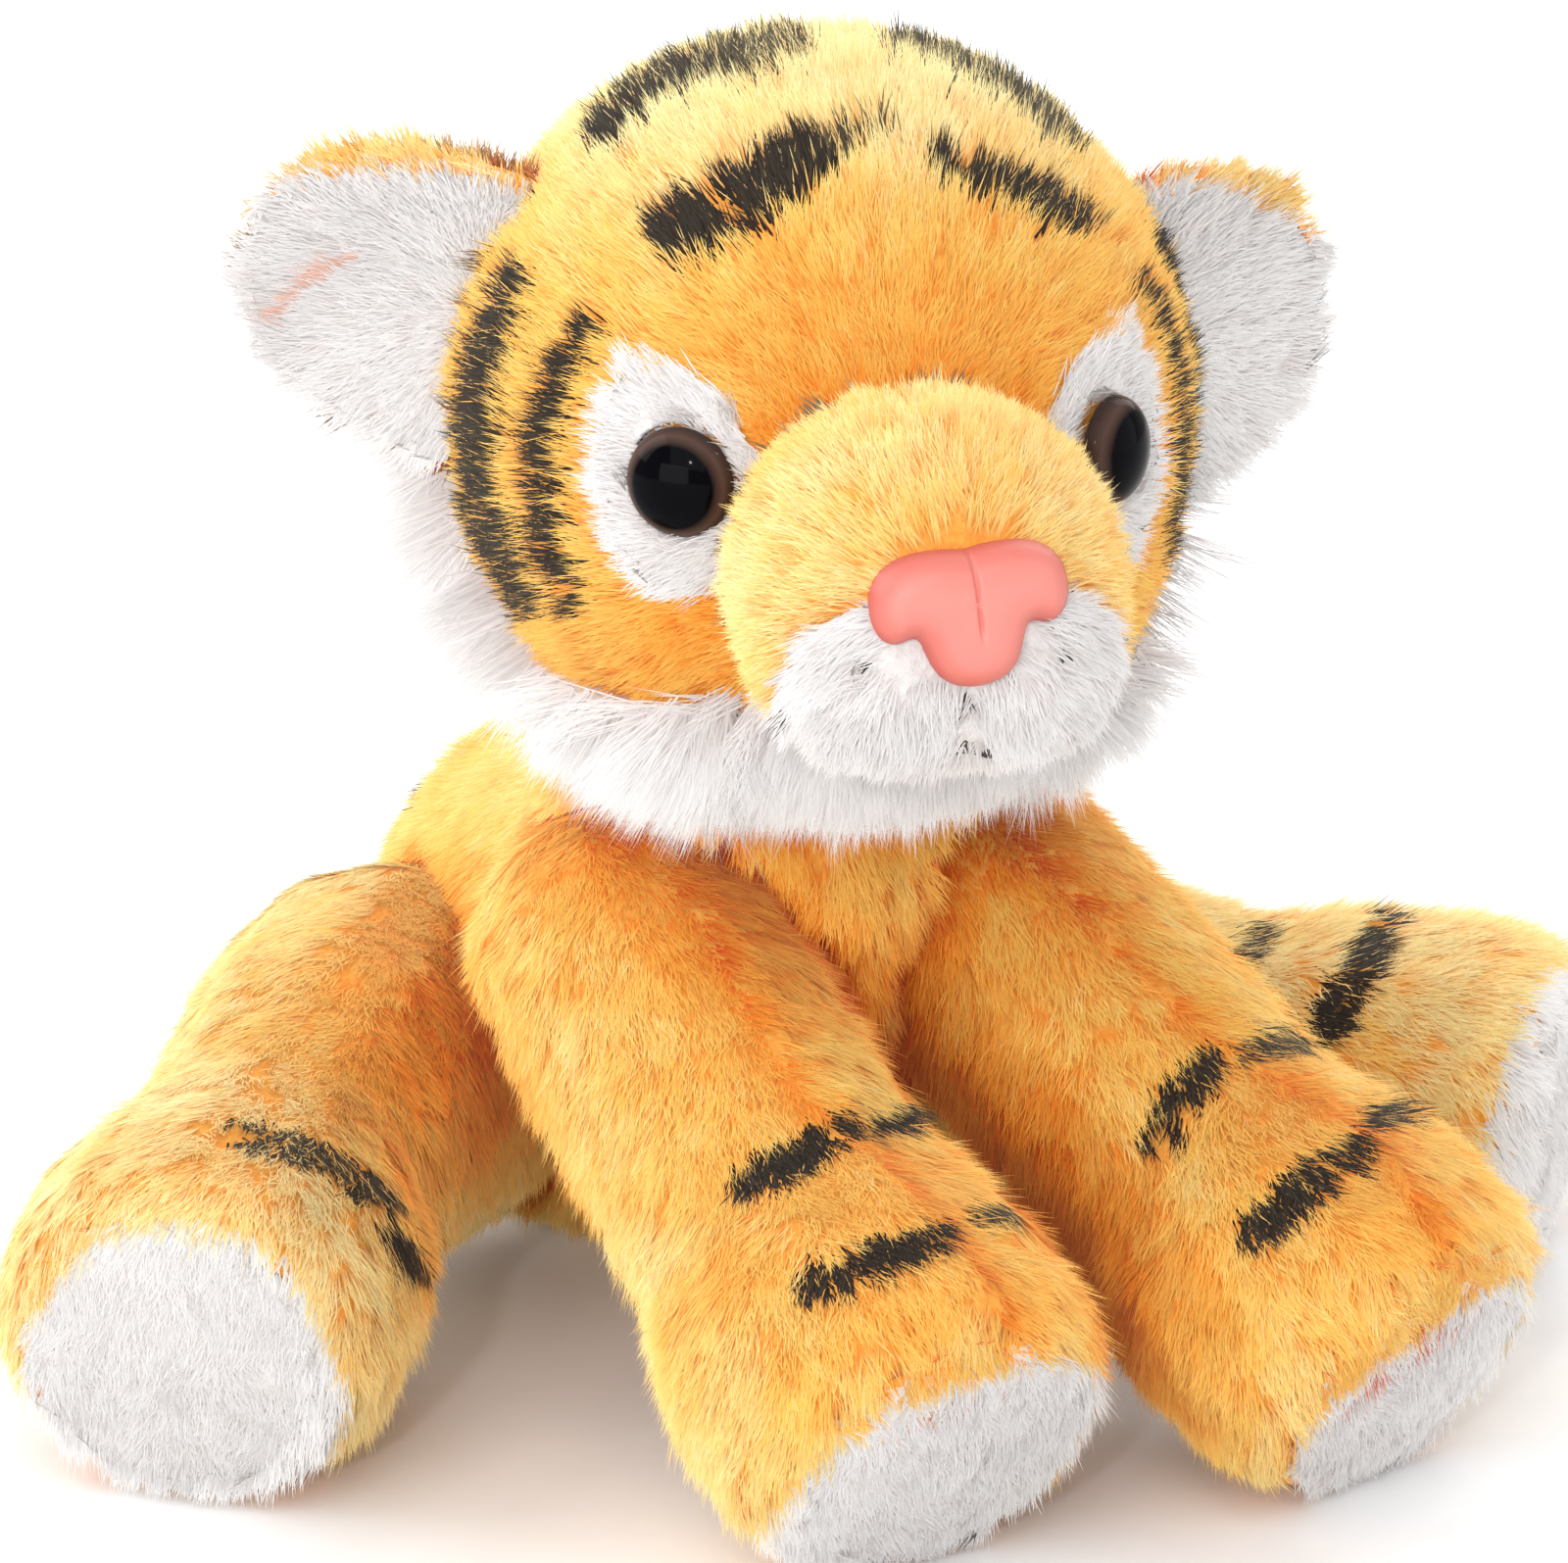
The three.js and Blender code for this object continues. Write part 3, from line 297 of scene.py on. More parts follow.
# Mesh helpers
def read(items, attribute, kind=float, width=3):
    values = np.empty(len(items) * width, kind)
    items.foreach_get(attribute, values)
    return values.reshape(-1, width)


def triangles_of(mesh):
    mesh.calc_loop_triangles()
    return read(mesh.loop_triangles, "vertices", int)


def joined(parts):
    """Corners and triangles of several meshes as one."""
    corners, faces, count = [], [], 0
    for co, tri in parts:
        corners.append(co)
        faces.append(tri + count)
        count += len(co)
    return np.concatenate(corners), np.concatenate(faces)


def node_arrays(names):
    """Corners and triangles of CAD nodes, joined."""
    parts = []
    for name in names:
        mesh = nodes[name].data
        place = np.array(nodes[name].matrix_world)
        co = read(mesh.vertices, "co") @ place[:3, :3].T + place[:3, 3]
        parts.append((co / MM, triangles_of(mesh)))
    return joined(parts)


def mesh_arrays(obj):
    """Corners, normals and triangles of one of this script's meshes."""
    mesh = obj.data
    return read(mesh.vertices, "co") / MM, read(mesh.vertices, "normal"), triangles_of(mesh)


def move_corners(obj, corners):
    obj.data.vertices.foreach_set("co", (corners * MM).ravel())


def mark(obj, reds, rest):
    """Stores at each corner the red that colours an eye or the nose, and rest beside it."""
    colour = np.full((len(obj.data.vertices), 4), rest, np.float32)
    colour[:, 3] = 1
    colour[:len(reds), 0] = reds
    layer = obj.data.color_attributes.new("strand", "FLOAT_COLOR", "POINT")
    layer.data.foreach_set("color", colour.ravel())


def build_mesh(name, corners, faces, smooth=True):
    mesh = bpy.data.meshes.new(name)
    mesh.from_pydata((corners * MM).tolist(), [], [tuple(f) for f in faces])
    if smooth:
        mesh.shade_smooth()
    return add(name, mesh)


def apply_modifiers(obj):
    depsgraph = bpy.context.evaluated_depsgraph_get()
    mesh = bpy.data.meshes.new_from_object(obj.evaluated_get(depsgraph))
    old = obj.data
    obj.modifiers.clear()
    obj.data = mesh
    bpy.data.meshes.remove(old)


def largest_part(mesh):
    """Keeps the outer skin and drops what a hollow cover leaves inside it."""
    edges = read(mesh.edges, "vertices", int, 2)
    label = np.arange(len(mesh.vertices))
    before = None
    while not np.array_equal(before, label):
        before = label.copy()
        low = np.minimum(label[edges[:, 0]], label[edges[:, 1]])
        for end in (0, 1):
            np.minimum.at(label, edges[:, end], low)
        label = label[label]
        label = label[label]
    co = read(mesh.vertices, "co")
    sizes = {k: np.ptp(co[label == k], axis=0).prod() for k in np.unique(label)}
    keep = label == max(sizes, key=sizes.get)
    if keep.all():
        return
    work = bmesh.new()
    work.from_mesh(mesh)
    work.verts.ensure_lookup_table()
    bmesh.ops.delete(work, geom=[work.verts[k] for k in np.flatnonzero(~keep)], context="VERTS")
    work.to_mesh(mesh)
    work.free()


def skin(name, source_nodes, voxel, smoothing, material):
    """A rounded skin over CAD nodes, with what they enclose filled in."""
    corners, faces = node_arrays(source_nodes)
    obj = build_mesh(name, corners, faces)
    remesh = obj.modifiers.new("remesh", "REMESH")
    remesh.mode = "VOXEL"
    remesh.voxel_size = voxel * MM
    apply_modifiers(obj)
    largest_part(obj.data)
    smooth = obj.modifiers.new("smooth", "SMOOTH")
    smooth.factor = 0.5
    smooth.iterations = smoothing
    apply_modifiers(obj)
    obj.data.shade_smooth()
    obj.data.materials.clear()
    obj.data.materials.append(material)
    return obj


def tree_of(obj):
    corners, _, tri = mesh_arrays(obj)
    return BVHTree.FromPolygons(corners.tolist(), tri.tolist()), corners.min(0), corners.max(0)


PROBE = Vector((0.31, 0.22, 0.925)).normalized()
PROBE_STEP = 0.001


def encloses(bvh, point):
    """Whether a ray from a point meets a closed skin an odd number of times."""
    odd = False
    place = bvh.ray_cast(point, PROBE)[0]
    while place is not None:
        odd = not odd
        place = bvh.ray_cast(place + PROBE * PROBE_STEP, PROBE)[0]
    return odd


def depth_inside(points, tree):
    """How deep each point lies inside a closed skin, zero or less outside."""
    bvh, low, high = tree
    depth = np.full(len(points), -1e3)
    near = np.flatnonzero(np.all((points > low - 1) & (points < high + 1), axis=1))
    for k in near:
        point = Vector(points[k].tolist())
        place, normal, _, distance = bvh.find_nearest(point)
        outside = (point - place).dot(normal) > 0 or not encloses(bvh, point)
        depth[k] = -distance if outside else distance
    return depth


WAVES_EACH = 6


def waves(seed, lengths):
    """A smooth random field of the given wave lengths, about -1 to 1."""
    rng = np.random.default_rng(seed)
    ways = unit(rng.normal(size=(WAVES_EACH * len(lengths), 3)))
    scale = np.repeat(2 * math.pi / np.array(lengths, float), WAVES_EACH)
    phase = rng.uniform(0, 2 * math.pi, len(scale))
    return lambda p: np.sin(p @ (ways * scale[:, None]).T + phase).mean(1) * math.sqrt(len(scale))


def along(path, points):
    """Distance of picture points from a broken line, share of the way along it, and offset."""
    path = np.array(path, float)
    lengths = norms(np.diff(path, axis=0))
    starts = np.concatenate(([0], np.cumsum(lengths)))
    best = np.full(len(points), 1e9)
    share = np.zeros(len(points))
    offset = np.zeros((len(points), 2))
    for k, length in enumerate(lengths):
        step = (path[k + 1] - path[k]) / length
        t = np.clip((points - path[k]) @ step, 0, length)
        away = points - path[k] - t[:, None] * step
        gap = norms(away)
        near = gap < best
        best[near] = gap[near]
        share[near] = ((starts[k] + t) / starts[-1])[near]
        offset[near] = away[near]
    return best, share, offset


def gap_to(path, p):
    """Distance of points from a broken line in the picture, in its pixels."""
    return along(path, to_picture(p))[0]


def facing(p, n):
    """How squarely a surface faces the photograph's camera, from -1 to 1."""
    return dot(n, unit(EYE - p))


# Stripes in the photograph: path and half width in pixels, and how faded each end is, from 0 to 1
STRIPES = {
    "crown": [
        ([(612, 140), (636, 112), (684, 84), (740, 64), (812, 46)], 17, 0.1, 0.75),
        ([(918, 44), (965, 58), (1010, 80), (1055, 110), (1098, 148)], 13, 0.5, 0.7),
        ([(686, 236), (735, 212), (790, 182), (824, 158)], 32, 0.0, 0.1),
        ([(836, 152), (866, 140), (896, 126)], 12, 0.5, 0.9),
        ([(962, 164), (1000, 178), (1050, 196), (1102, 226)], 16, 0.2, 0.3),
    ],
    "cheek": [
        ([(526, 284), (500, 350), (486, 440), (494, 520), (542, 620)], 19, 0.1, 0.35),
        ([(602, 332), (572, 380), (550, 450), (552, 530), (584, 616)], 15, 0.1, 0.25),
    ],
    "front_leg_right": [
        ([(752, 1210), (810, 1178), (868, 1146)], 17, 0.0, 0.05),
        ([(892, 1144), (948, 1134)], 11, 0.1, 0.3),
        ([(826, 1314), (890, 1286), (966, 1258)], 17, 0.0, 0.0),
        ([(1000, 1234), (1066, 1218)], 12, 0.4, 0.6),
    ],
    "front_leg_left": [
        ([(1176, 1166), (1200, 1122), (1236, 1082)], 19, 0.0, 0.1),
        ([(1268, 1072), (1330, 1050)], 12, 0.6, 0.7),
        ([(1276, 1256), (1330, 1212), (1388, 1168)], 20, 0.1, 0.05),
        ([(1400, 1138), (1462, 1114)], 14, 0.4, 0.5),
    ],
    "hind_leg_right": [
        ([(244, 1154), (290, 1166), (340, 1184), (400, 1226)], 14, 0.6, 0.4),
        ([(404, 1256), (430, 1294)], 13, 0.1, 0.1),
    ],
    "hind_leg_left": [
        ([(1412, 934), (1388, 980), (1364, 1022), (1350, 1050)], 20, 0.4, 0.0),
        ([(1284, 950), (1262, 984)], 12, 0.6, 0.6),
    ],
}

# Each sole as the photograph shows it, with room beyond the foot's own outline
SOLES = {
    "front_leg_right": [
        (760, 1610), (771, 1542), (795, 1516), (845, 1472), (900, 1436), (971, 1406), (1034, 1386),
        (1097, 1382), (1140, 1370), (1200, 1390), (1200, 1700), (760, 1700),
    ],
    "front_leg_left": [
        (1314, 1520), (1320, 1480), (1339, 1442), (1374, 1407), (1415, 1378), (1455, 1351),
        (1495, 1320), (1535, 1298), (1579, 1287), (1640, 1280), (1640, 1560), (1314, 1560),
    ],
    "hind_leg_right": [
        (21, 1408), (30, 1340), (59, 1298), (110, 1248), (177, 1235), (245, 1248), (296, 1281),
        (334, 1340), (359, 1408), (346, 1467), (313, 1509), (253, 1530), (169, 1524), (84, 1493),
        (34, 1450),
    ],
    "hind_leg_left": [
        (1500, 1150), (1520, 1090), (1530, 1060), (1540, 1020), (1562, 985), (1640, 960),
        (1640, 1300), (1500, 1300),
    ],
}
SOLE_SEEN = -0.2


def enclosed(outline, points):
    """Which picture points lie inside a closed outline."""
    inside = np.zeros(len(points), bool)
    for (x0, y0), (x1, y1) in zip(outline, outline[1:] + outline[:1]):
        if y0 != y1:
            crosses = (y0 > points[:, 1]) != (y1 > points[:, 1])
            inside ^= crosses & (points[:, 0] < x0 + (points[:, 1] - y0) * (x1 - x0) / (y1 - y0))
    return inside


def sole_kind(limb, hidden):
    """White inside the sole that is seen, and the hidden kind out of the camera's sight."""
    def kind(p, n, rng):
        white = enclosed(SOLES[limb], to_picture(p) + rng.normal(size=(len(p), 2)) * 3)
        return np.where(facing(p, n) > SOLE_SEEN, np.where(white, WHITE, ORANGE), hidden)
    return kind


STRIPE_SEEN, STRIPE_GROWTH, STRIPE_RAGGED = 0.05, 2, 3.5
NO_STRIPE = -1e3


def stripe_test(stripes, seed):
    """How far inside a stripe each root lies, in pixels, and how faded it is there."""
    ragged = waves(seed, (4.0, 2.2))

    def test(points, normals):
        inside = np.full(len(points), NO_STRIPE)
        fade = np.zeros(len(points))
        at = to_picture(points)
        seen = facing(points, normals) > STRIPE_SEEN
        for path, half, first, last in stripes:
            gap, share, _ = along(path, at)
            taper = 0.72 + 0.28 * np.sin(np.clip(share, 0.02, 0.98) * math.pi) ** 0.5
            reach = (half + STRIPE_GROWTH) * taper + STRIPE_RAGGED * ragged(points)
            here = np.where(seen, reach - gap, NO_STRIPE)
            fade = np.where(here > inside, first + (last - first) * share, fade)
            inside = np.maximum(inside, here)
        return inside, fade
    return test


# Fur
TONE_STEPS = 16
KINDS = 4
CLUMP_STRANDS = 18
# How pile grows where a coat doesn't say otherwise: clumps per square millimetre, lengths, and
# degrees. The last entry is how much closeness to other parts darkens the pile, as painted shade.
COAT = dict(
    density=0.5, length=4.8, width=0.3, lean=27, wander=0.2, toward=None, grows=None, kind=ORANGE,
    stripes=None, tone=0.62, shape=None, clear=(), crowded=0.85,
)
CLUMP_SPREAD, GATHER, SOFT = 1.6, 0.4, 0.9
LEAST_LENGTH, MOST_LENGTH, LENGTH_SPREAD = 0.72, 1.12, 0.12
TURN_SPREAD = 0.16
LEAN_SPREAD = 5
RIM_FACING = 0.5
LEAST_LEAN, SIGHT_ROOM, LAID_FROM = np.radians(5), np.radians(6), -0.6
FLOOR_CLEAR = 0.3
LOWEST_ROOT = 1.2
ROOT_DEPTH = 0.35
FULL_DEPTH_LEAN = math.radians(25)
PIECE_STRANDS = 66000
BLADE_FACES = ((1, 0, 3), (2, 1, 3), (0, 2, 3))
BLADE_REACH = np.array((0, 0, 0, 1.0))


def turned(way, side, angle):
    return way * np.cos(angle)[:, None] + side * np.sin(angle)[:, None]


def turned_in(points, normals):
    """Shading directions, turned a little to the camera near the outline."""
    view = unit(EYE - points)
    seen = dot(normals, view)
    push = np.clip(RIM_FACING - seen, 0, None) * smooth_step(-0.9, -0.45, seen)
    return unit(normals + view * push[:, None])


def laid_down(points, normals, ahead, lean):
    """Lays strands that point at the camera so low that they are seen from above."""
    view = unit(EYE - points)
    sight = np.arcsin(np.clip(dot(normals, view), -1, 1))
    lower = np.minimum(lean, np.maximum(sight - SIGHT_ROOM, LEAST_LEAN))
    return np.where((dot(ahead, view) > 0) & (sight > LAID_FROM), lower, lean)


def grow(obj, seed, hiders=(), **values):
    """Arrays with the strands of one skin, and the random numbers' state."""
    coat = SimpleNamespace(**COAT | values)
    rng = np.random.default_rng(seed)
    corners, normals, tri = mesh_arrays(obj)
    a, b, c = (corners[tri[:, k]] for k in range(3))
    area = norms(np.cross(b - a, c - a)) / 2
    thin = 1.0
    count = int(area.sum() * coat.density * thin)
    pick = np.searchsorted(np.cumsum(area), rng.uniform(0, area.sum(), count))
    pick = np.minimum(pick, len(tri) - 1)
    u, v = rng.uniform(size=(2, count, 1))
    flip = (u + v > 1)
    u, v = np.where(flip, 1 - u, u), np.where(flip, 1 - v, v)

    def blend(field):
        t = tri[pick]
        return field[t[:, 0]] * (1 - u - v) + field[t[:, 1]] * u + field[t[:, 2]] * v

    # The third value is the share of rays that meet other parts, used for painted shade
    p, n, near = blend(corners), unit(blend(normals)), blend(occlusion_for_shade(corners, normals)[:, None])[:, 0]
    keep = p[:, 2] > LOWEST_ROOT
    if coat.grows is not None:
        keep &= coat.grows(p, n)
    for tree, depth in hiders:
        keep &= depth_inside(p, tree) < depth
    for centre, radius in coat.clear:
        keep &= norms(p - centre) > radius
    p, n, near = p[keep], n[keep], near[keep]
    way = coat.flow(p, n)
    way = unit(way - n * dot(way, n)[:, None])
    swirl = coat.wander * (waves(seed + 1, (16, 9))(p) + rng.normal(size=len(p)) * 0.6)
    way = turned(way, np.cross(n, way), swirl)
    side = np.cross(n, way)

    size = len(p) * CLUMP_STRANDS
    clump = np.repeat(np.arange(len(p)), CLUMP_STRANDS)
    radius = CLUMP_SPREAD * np.sqrt(rng.uniform(size=size))
    angle = rng.uniform(0, 2 * math.pi, size)
    off_way, off_side = radius * np.cos(angle), radius * np.sin(angle)
    root = p[clump] + way[clump] * off_way[:, None] + side[clump] * off_side[:, None]
    normal = n[clump]
    ahead = turned(way[clump], side[clump], rng.normal(size=size) * TURN_SPREAD)
    share = rng.uniform(LEAST_LENGTH, MOST_LENGTH, size)
    long = coat.length * share * (1 + LENGTH_SPREAD * rng.normal(size=len(p)))[clump]
    if coat.shape is not None:
        long = long * coat.shape(root, normal)
    tone = coat.tone(p, n) if callable(coat.tone) else np.full(len(p), coat.tone)
    # Painted shade: darker where other parts stand close
    tone = (tone - coat.crowded * near)[clump]
    tone = tone + 0.05 * waves(seed + 2, (22, 11))(p)[clump]
    tone = tone + 0.045 * rng.normal(size=len(p))[clump] + 0.05 * rng.normal(size=size)
    kind = coat.kind(root, normal, rng) if callable(coat.kind) else np.full(size, coat.kind)
    if coat.stripes is not None:
        inside, fade = coat.stripes(root + ahead * long[:, None] * 0.4 + normal, normal)
        dark = inside + rng.normal(size=size) * 4 > 0
        dark &= rng.uniform(size=size) > 0.01 + 0.28 * fade
        kind = np.where(dark & (kind == ORANGE), DARK, kind)
        tone = np.where(dark, 0.12 + 0.6 * fade + 0.14 * rng.normal(size=size), tone)
    lean = coat.lean + rng.normal(size=size) * LEAN_SPREAD + LEAN_SPREAD * rng.normal(size=len(p))[clump]
    lean = laid_down(root, normal, ahead, np.radians(lean))
    if coat.toward is not None:
        normal = unit(normal + coat.toward)
    normal = turned_in(root, normal)
    pull = GATHER * (-side[clump] * off_side[:, None] - way[clump] * off_way[:, None] * 0.4)
    width = coat.width * rng.uniform(0.75, 1.2, size) * np.where(kind == DARK, 1.25, 1.0)
    strands = dict(root=root, surface=n[clump], normal=normal, ahead=ahead, long=long, tone=tone,
                   kind=kind, lean=lean, pull=pull, width=width)
    return strands, rng


def strand_corners(s, rng):
    """A slim spike for each strand: two foot corners, its ridge and its tip."""
    up, ahead = s["surface"], s["ahead"]
    lean = np.maximum(s["lean"], np.radians(4))[:, None]
    along_it = ahead * np.cos(lean) + up * np.sin(lean)
    sunk = ROOT_DEPTH * np.clip(np.sin(lean) / math.sin(FULL_DEPTH_LEAN), 0.15, 1)
    base = s["root"] - up * sunk
    tip = base + along_it * s["long"][:, None] + s["pull"]
    across = unit(np.cross(along_it, up))
    roll = rng.normal(size=len(base)) * 0.1
    ridge = np.cross(across, along_it)
    across, ridge = turned(across, ridge, roll), turned(ridge, across, -roll)
    half = (s["width"] / 2)[:, None]
    corners = np.stack((base - across * half, base + across * half, base + ridge * half, tip), 1)
    corners[..., 2] = np.maximum(corners[..., 2], FLOOR_CLEAR)
    return corners


def pile_mesh(name, s, rng):
    """One mesh of strands with colours, chart and shading directions."""
    corners = strand_corners(s, rng)
    count = len(corners)
    sides = len(BLADE_FACES)
    start = np.arange(count)[:, None] * 4
    loops = np.concatenate([start + k for k in BLADE_FACES], 1).reshape(-1)
    mesh = bpy.data.meshes.new(name)
    mesh.vertices.add(count * 4)
    mesh.vertices.foreach_set("co", (corners * MM).ravel())
    mesh.loops.add(len(loops))
    mesh.loops.foreach_set("vertex_index", loops)
    mesh.polygons.add(count * sides)
    mesh.polygons.foreach_set("loop_start", np.arange(count * sides) * 3)
    mesh.polygons.foreach_set("material_index", np.repeat(s["kind"], sides))
    mesh.update(calc_edges=True)
    top = TONE_STEPS - 1
    tone = np.clip(np.round(np.clip(s["tone"], 0, 1) * top), 0, top)
    colour = np.zeros((count, 4, 4), np.float32)
    colour[..., 0] = (tone / top)[:, None]
    colour[..., 1] = BLADE_REACH
    colour[..., 3] = 1
    layer = mesh.color_attributes.new("strand", "FLOAT_COLOR", "POINT")
    layer.data.foreach_set("color", colour.ravel())
    place_u = (tone[:, None] + np.array((0.2, 0.8, 0.5, 0.5))) / TONE_STEPS
    place_v = (s["kind"][:, None] + 0.1 + 0.8 * BLADE_REACH) / KINDS
    places = np.stack((place_u, np.broadcast_to(place_v, place_u.shape)), -1).reshape(-1, 2)
    chart = mesh.uv_layers.new(name="OFBake")
    chart.data.foreach_set("uv", places[loops].astype(np.float32).ravel())
    flat = unit(np.cross(corners[:, 1] - corners[:, 0], corners[:, 3] - corners[:, 0]))
    flat = flat * np.sign(dot(flat, s["surface"]))[:, None]
    soft = unit(s["normal"] * SOFT + flat * (1 - SOFT))
    mesh.shade_smooth()
    mesh.normals_split_custom_set_from_vertices(np.repeat(soft, 4, axis=0).tolist())
    for material in pile:
        mesh.materials.append(material)
    return mesh


def declare(obj, body, replaced=()):
    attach(obj, body)
    if replaced:
        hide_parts(*replaced)


make_camera()
make_world()
make_lamp("key", (-0.55, -0.75, 0.95), 6.8, (1.3, 1.3))
make_lamp("fill", (0.9, -0.6, 0.5), 4.0, (1.2, 1.2))
make_lamp("low_side", (-1.1, -0.7, 0.25), 3.8, (0.9, 0.5))
make_lamp("rim_right", (-0.8, 0.55, 0.75), 7.5, (0.9, 0.9))
make_lamp("rim_left", (0.75, 0.65, 0.75), 6.5, (0.9, 0.9))
make_lamp("spark", (-0.75, -1.1, 0.75), 2.4, (0.08, 0.08))

# Each kind of strand: its sheen, its colour at the root (its own deeper colour and painted shade between
# strands) and its tones
PILE = {
    "orange": (0.2, (238, 160, 98), (218, 96, 22), (253, 168, 58), (255, 210, 106), (255, 242, 176)),
    "dark": (0.1, (200, 150, 110), (44, 38, 33), (64, 57, 47), (96, 89, 70), (146, 138, 104)),
    "white": (0.1, (226, 216, 214), (216, 212, 210), (232, 230, 229), (243, 242, 241), (250, 250, 249)),
    "blush": (0.2, (230, 200, 190), (226, 176, 160), (240, 196, 180), (246, 214, 202), (250, 228, 220)),
}
pile = [pile_material(name, *values) for name, values in PILE.items()]
orange_backing = backing_material("plush_backing_orange", srgb(226, 142, 50), srgb(240, 168, 72))
white_backing = backing_material("plush_backing_white", srgb(208, 204, 202), srgb(222, 219, 218))
BACKINGS = {"orange_plush": orange_backing, "white_plush": white_backing}

SIDES = ("right", "left")
LIMBS = ("front_leg_right", "front_leg_left", "hind_leg_right", "hind_leg_left")
RIM_ROOM = 14
CHIP, CHIP_REACH, CHIP_DEPTH = (742, 724), 20, 3.2
dressed = {}


def dress(part, voxel, smoothing, body, covers=(), filling=(), slot="orange_plush"):
    """A skin over a part's CAD nodes that stands in for its covers."""
    covers = covers or (part,)
    obj = skin(f"{part}_skin", covers + filling, voxel, smoothing, BACKINGS[slot])
    declare(obj, body, covers)
    dressed[part] = obj, body, slot
    return obj


def cover(part, seed, hiders, **values):
    """Covers a part's skin with strands, in pieces of at most PIECE_STRANDS."""
    obj, body, slot = dressed[part]
    strands, rng = grow(obj, seed, hiders, **values)
    name = f"{part}_pile"
    pieces = max(1, math.ceil(len(strands["root"]) / PIECE_STRANDS))
    for k in range(pieces):
        mesh = pile_mesh(name, {key: rows[k::pieces] for key, rows in strands.items()}, rng)
        piece = add(name if pieces == 1 else f"{name}_{k + 1}", mesh)
        piece.visible_shadow = False
        declare(piece, body)


def tuck_in(obj):
    """Sinks the corner of a ruff's skin seen at the chip's place into the head."""
    corners = mesh_arrays(obj)[0]
    share = bell(norms(to_picture(corners) - CHIP), CHIP_REACH)
    inward = unit(node_middle("head_cover") - corners)
    move_corners(obj, corners + inward * (CHIP_DEPTH * share)[:, None])


def orange_rim(obj, limb):
    """Orange backing where a sole's skin reaches past the sole that is seen."""
    faces = obj.data.polygons
    p, n = read(faces, "center") / MM, read(faces, "normal")
    at = to_picture(p)
    rim = ~enclosed(SOLES[limb], at) & ~enclosed(SOLES[limb], at + (0, RIM_ROOM))
    obj.data.materials.append(orange_backing)
    faces.foreach_set("material_index", (rim & (facing(p, n) > SOLE_SEEN)).astype(np.int32))


# Skins
dress("trunk", 1.5, 8, "trunk", ("body_side_right", "body_side_left", "belly_panel"),
      ("body_stuffing", "seat_pellet_bag"))
dress("head", 1.5, 8, "head", ("head_cover",), ("head_stuffing",))
dress("muzzle", 1.0, 8, "head", ("muzzle_cover",), ("muzzle_stuffing",))
dress("whisker_pads", 0.9, 6, "head", slot="white_plush")
dress("chin_bib", 0.9, 6, "head", slot="white_plush")
for side in SIDES:
    dress(f"ruff_{side}", 0.9, 6, "head", slot="white_plush")
    dress(f"eye_patch_{side}", 0.4, 3, "head", slot="white_plush")
    dress(f"ear_front_{side}", 0.6, 4, f"ear_{side}", slot="white_plush")
    dress(f"ear_back_{side}", 0.6, 4, f"ear_{side}")
tuck_in(dressed["ruff_right"][0])
for limb in LIMBS:
    inside = (f"{limb}_stuffing", f"{limb}_pellet_bag")
    dress(limb, 1.3, 8, limb, (f"{limb}_cover",), inside)
    orange_rim(dress(f"{limb}_sole", 0.7, 4, limb, slot="white_plush"), limb)
dress("tail", 1.0, 6, "tail", ("tail_root_cover", "tail_tip_cover"), ("tail_stuffing",))

bulky = {part: obj for part, (obj, _, _) in dressed.items() if not part.startswith(("ear", "eye"))}
trees = {part: tree_of(obj) for part, obj in bulky.items()}
everything = BVHTree.FromPolygons(*(
    rows.tolist() for rows in joined(mesh_arrays(obj)[::2] for obj in bulky.values())))

# Painted shade: reach and number of the rays that find other parts close by
SHADE_RAY_REACH, SHADE_RAY_START = 26.0, 1.5
SHADE_RAYS, SHADE_RAY_TILT = 6, 1.1


def occlusion_for_shade(corners, normals):
    """Share of short rays from each corner that meet other soft parts, for painted shade."""
    shares = np.zeros(len(corners))
    sides = unit(np.cross(normals, RIGHT + 0.3 * UP))
    others = np.cross(normals, sides)
    turns = [(0.0, 0.0)] + [(SHADE_RAY_TILT, 2 * math.pi * k / SHADE_RAYS) for k in range(SHADE_RAYS)]
    start = (corners + normals * SHADE_RAY_START).tolist()
    for tilt, turn in turns:
        way = unit(normals + tilt * (math.cos(turn) * sides + math.sin(turn) * others))
        for k, (a, b) in enumerate(zip(start, way.tolist())):
            if everything.ray_cast(a, b, SHADE_RAY_REACH)[0] is not None:
                shares[k] += 1 / len(turns)
    return shares


def hiding(*names, depth=1.2):
    """Parts inside which a coat doesn't grow, and how deep it must lie for that."""
    return [(trees[name], depth) for name in names]


# Directions, lengths and tones of the pile
NOSE = node_middle("nose")
HEAD = node_middle("head_cover")
EYES = {side: node_middle(f"eye_{side}") for side in SIDES}
MIRROR = unit((EYES["left"] - EYES["right"]) * (1, 1, 0))
MIDDLE = (EYES["left"] + EYES["right"]) / 2
FACE = np.cross(MIRROR, UP)
EYE_RADIUS = 6.2


def hinge_of(body):
    """Place and direction of the joint that carries a body."""
    joint = next(j for j in frame["joints"] if j["child"] == body)
    return np.array(joint["pos_m"]) / MM, unit(np.array(joint["axis"]))


def head_flow(p, n):
    behind = smooth_step(0, 30, (HEAD - p) @ FACE)[:, None]
    return unit(p - NOSE) - behind * UP * 0.9


# The cleft under the nose and where the thread shows in it, in the picture
PADS_CLEFT = [(990, 690), (992, 748)]
THREAD_SEEN, THREAD_REACH = [(988, 704), (990, 726)], 2.5


def pads_flow(p, n):
    return unit(p - NOSE) - UP * 0.6 + cleft_push(p) * 1.2


def pads_shape(p, n):
    """Short pile in the cleft under the nose."""
    return 0.6 + 0.4 * smooth_step(2, 15, gap_to(PADS_CLEFT, p))


